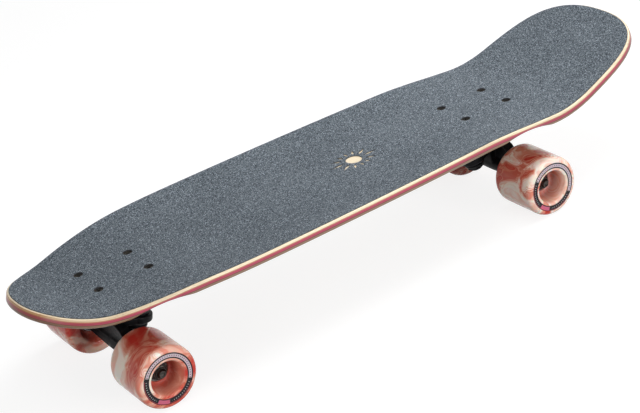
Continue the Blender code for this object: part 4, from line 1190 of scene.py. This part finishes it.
def make_trucks():
    """Both trucks and the four wheels, each piece made once and copied to its places."""
    cast_paint = cast_paint_surface()
    zinc = steel_surface("zinc_steel", (0.34, 0.34, 0.35), (0.58, 0.58, 0.59), 0.26, 0.42)
    dull = steel_surface("dull_steel", (0.030, 0.027, 0.025), (0.090, 0.082, 0.075), 0.32, 0.48)
    blackened = steel_surface("black_kingpin", (0.005, 0.005, 0.006), (0.018, 0.018, 0.019), 0.32, 0.48, 0.9)
    race = steel_surface("bearing_steel", (0.060, 0.056, 0.054), (0.16, 0.15, 0.145), 0.20, 0.34)
    shield = soft_surface("bearing_shield", (0.012, 0.012, 0.013), (0.030, 0.030, 0.032), 0.45, 1500)
    rubber = soft_surface("bushing_urethane", (0.006, 0.006, 0.007), (0.017, 0.017, 0.018), 0.45, 700)
    cup_rubber = soft_surface("pivot_rubber", (0.008, 0.008, 0.009), (0.020, 0.020, 0.021), 0.62, 1200)
    pad = soft_surface("riser_plastic", (0.006, 0.006, 0.007), (0.016, 0.016, 0.017), 0.55, 900)
    stack = stack_meshes(blackened, rubber)
    axle, nut = axle_mesh(dull), axle_nut_mesh(dull)
    bearing, spacer = bearing_mesh(race, shield), spacer_mesh(zinc)
    along_kingpin, along_steer, along_axle = directions()
    unmoved = Matrix.Identity(4)
    fixed = [("riser", riser_mesh(pad), "riser_plastic", unmoved)]
    fixed.append(("baseplate", baseplate_mesh(cast_paint), "truck_paint", unmoved))
    fixed.append(("pivot_cup", pivot_cup_mesh(cup_rubber), "black_rubber", along_steer))
    hanger = hanger_mesh(cast_paint)
    bends = {"board_bushing": (BOARD_BUSHING_END, RING_HALF), "road_bushing": (ROAD_BUSHING_END, -RING_HALF)}
    for truck, sign in (("front", 1), ("rear", -1)):
        here = Matrix.Translation((MIDDLE_X + sign * WHEELBASE / 2, 0, 0))
        if sign < 0:
            here = here @ Matrix.Rotation(math.pi, 4, "Z")
        steering = f"{truck}_steering"

        def add(name, mesh, body, slot, matrix, bend=()):
            piece(f"{truck}_{name}_fine", mesh.copy(), body, [f"{truck}_{name}"], slot, here @ matrix, bend)

        for name, mesh, slot, matrix in fixed:
            add(name, mesh, "board", slot, matrix)
        for name, mesh in stack.items():
            if name in bends:
                ends = (here @ along_kingpin @ Vector((0, 0, height)) for height in bends[name])
                add(name, mesh, "board", "bushing", along_kingpin, (steering, *ends))
            else:
                add(name, mesh, "board", "black_steel", along_kingpin)
        add("hanger", hanger, steering, "truck_paint", unmoved)
        add("axle", axle, steering, "bright_steel", along_axle)
        for side in (1, -1):
            short = "left" if side * sign > 0 else "right"
            hub = Matrix.Translation((AXLE_OFFSET, side * HUB_FROM_MIDDLE, WHEEL_RADIUS))
            outwards, upwards = Vector((0, side, 0)), Vector((0, 0, 1))
            basis = Matrix((upwards.cross(outwards), upwards, outwards)).transposed()
            lay = hub @ basis.to_4x4()
            skin = urethane_surface(f"urethane_{truck}_{short}", *WHEEL_COLOURS[truck, short])
            rolling = f"{truck}_{short}_rolling"
            add(f"{short}_wheel", wheel_mesh(skin), rolling, "wheel_urethane", lay)
            step = SPACER_HALF + GAP + BEARING_WIDTH / 2
            for which, shift in (("inner", -step), ("outer", step)):
                spot = lay @ Matrix.Translation((0, 0, shift))
                add(f"{short}_bearing_{which}", bearing, rolling, "bearing_steel", spot)
            add(f"{short}_bearing_spacer", spacer, steering, "bright_steel", lay)
            spot = lay @ Matrix.Translation((0, 0, HUB_HALF))
            add(f"{short}_axle_nut", nut, steering, "bright_steel", spot)


def set_camera():
    """The camera that the photograph was solved to have."""
    turn, height, roll = CAMERA_TURN, CAMERA_HEIGHT, CAMERA_ROLL
    back = Vector((math.sin(turn) * math.cos(height), -math.cos(turn) * math.cos(height), math.sin(height)))
    right = (-back).cross(Vector((0, 0, 1))).normalized()
    up = right.cross(-back)
    rolled_right = math.cos(roll) * right + math.sin(roll) * up
    rolled_up = math.cos(roll) * up - math.sin(roll) * right
    data = bpy.data.cameras.new("photo_camera")
    data.sensor_width = SENSOR_WIDTH
    data.lens = CAMERA_LENS
    camera = bpy.data.objects.new("photo_camera", data)
    bpy.context.scene.collection.objects.link(camera)
    place = Matrix((rolled_right, rolled_up, back)).transposed().to_4x4()
    place.translation = CAMERA_PLACE
    camera.matrix_world = place
    bpy.context.scene.camera = camera


def set_surroundings():
    """A white world that lights faintly, and a pale floor that keeps the shadow and is clear from below."""
    bpy.context.scene.view_settings.view_transform = "Standard"
    world = bpy.data.worlds.new("studio")
    bpy.context.scene.world = world
    world.use_nodes = True
    w = Nodes(world.node_tree)
    generated = w.add("ShaderNodeTexCoord").outputs["Generated"]
    towards = w.add("ShaderNodeVectorMath", (generated, SKY_TOWARDS), operation="DOT_PRODUCT")
    sky = w.between(towards.outputs["Value"], *SKY_RANGE, SKY_LOW, SKY_HIGH)
    white = (1, 1, 1)
    strength = w.between(w.seen_directly(), 0.0, 1.0, sky, 1.0)
    w.put(w.tree.nodes["Background"], Color=white, Strength=strength)
    s = Surface("pale_floor", 0.9, Base_Color=FLOOR_COLOUR, Specular_IOR_Level=0.0, Emission_Color=white)
    s.set(Emission_Strength=s.times(s.seen_directly(), FLOOR_GLOW))
    clear = s.add("ShaderNodeBsdfTransparent").outputs[0]
    below = s.add("ShaderNodeNewGeometry").outputs["Backfacing"]
    either = s.add("ShaderNodeMixShader", (below, s.shader.outputs[0], clear))
    s.feed(s.tree.nodes["Material Output"].inputs["Surface"], either.outputs[0])
    bm = bmesh.new()
    bm.faces.new([bm.verts.new((x, y, 0)) for x, y in square(FLOOR_HALF_SIZE)])
    floor = bpy.data.objects.new("floor", finished_mesh("floor", bm, [s.material]))
    bpy.context.scene.collection.objects.link(floor)


def set_lamps():
    for place, width, power in LAMPS:
        data = bpy.data.lights.new("soft_lamp", "AREA")
        data.shape = "SQUARE"
        data.size = width
        data.energy = power
        lamp = bpy.data.objects.new("soft_lamp", data)
        lamp.location = place
        lamp.rotation_euler = (LAMP_TARGET - Vector(place)).to_track_quat("-Z", "Y").to_euler()
        bpy.context.scene.collection.objects.link(lamp)


set_camera()
set_surroundings()
set_lamps()
make_deck(ply_surface(), sheet_edge_surface(), grip_surface())
make_hardware(steel_surface("black_bolts", (0.012, 0.011, 0.010), (0.055, 0.047, 0.036), 0.28, 0.42, 0.85))
make_trucks()
bpy.context.view_layer.update()
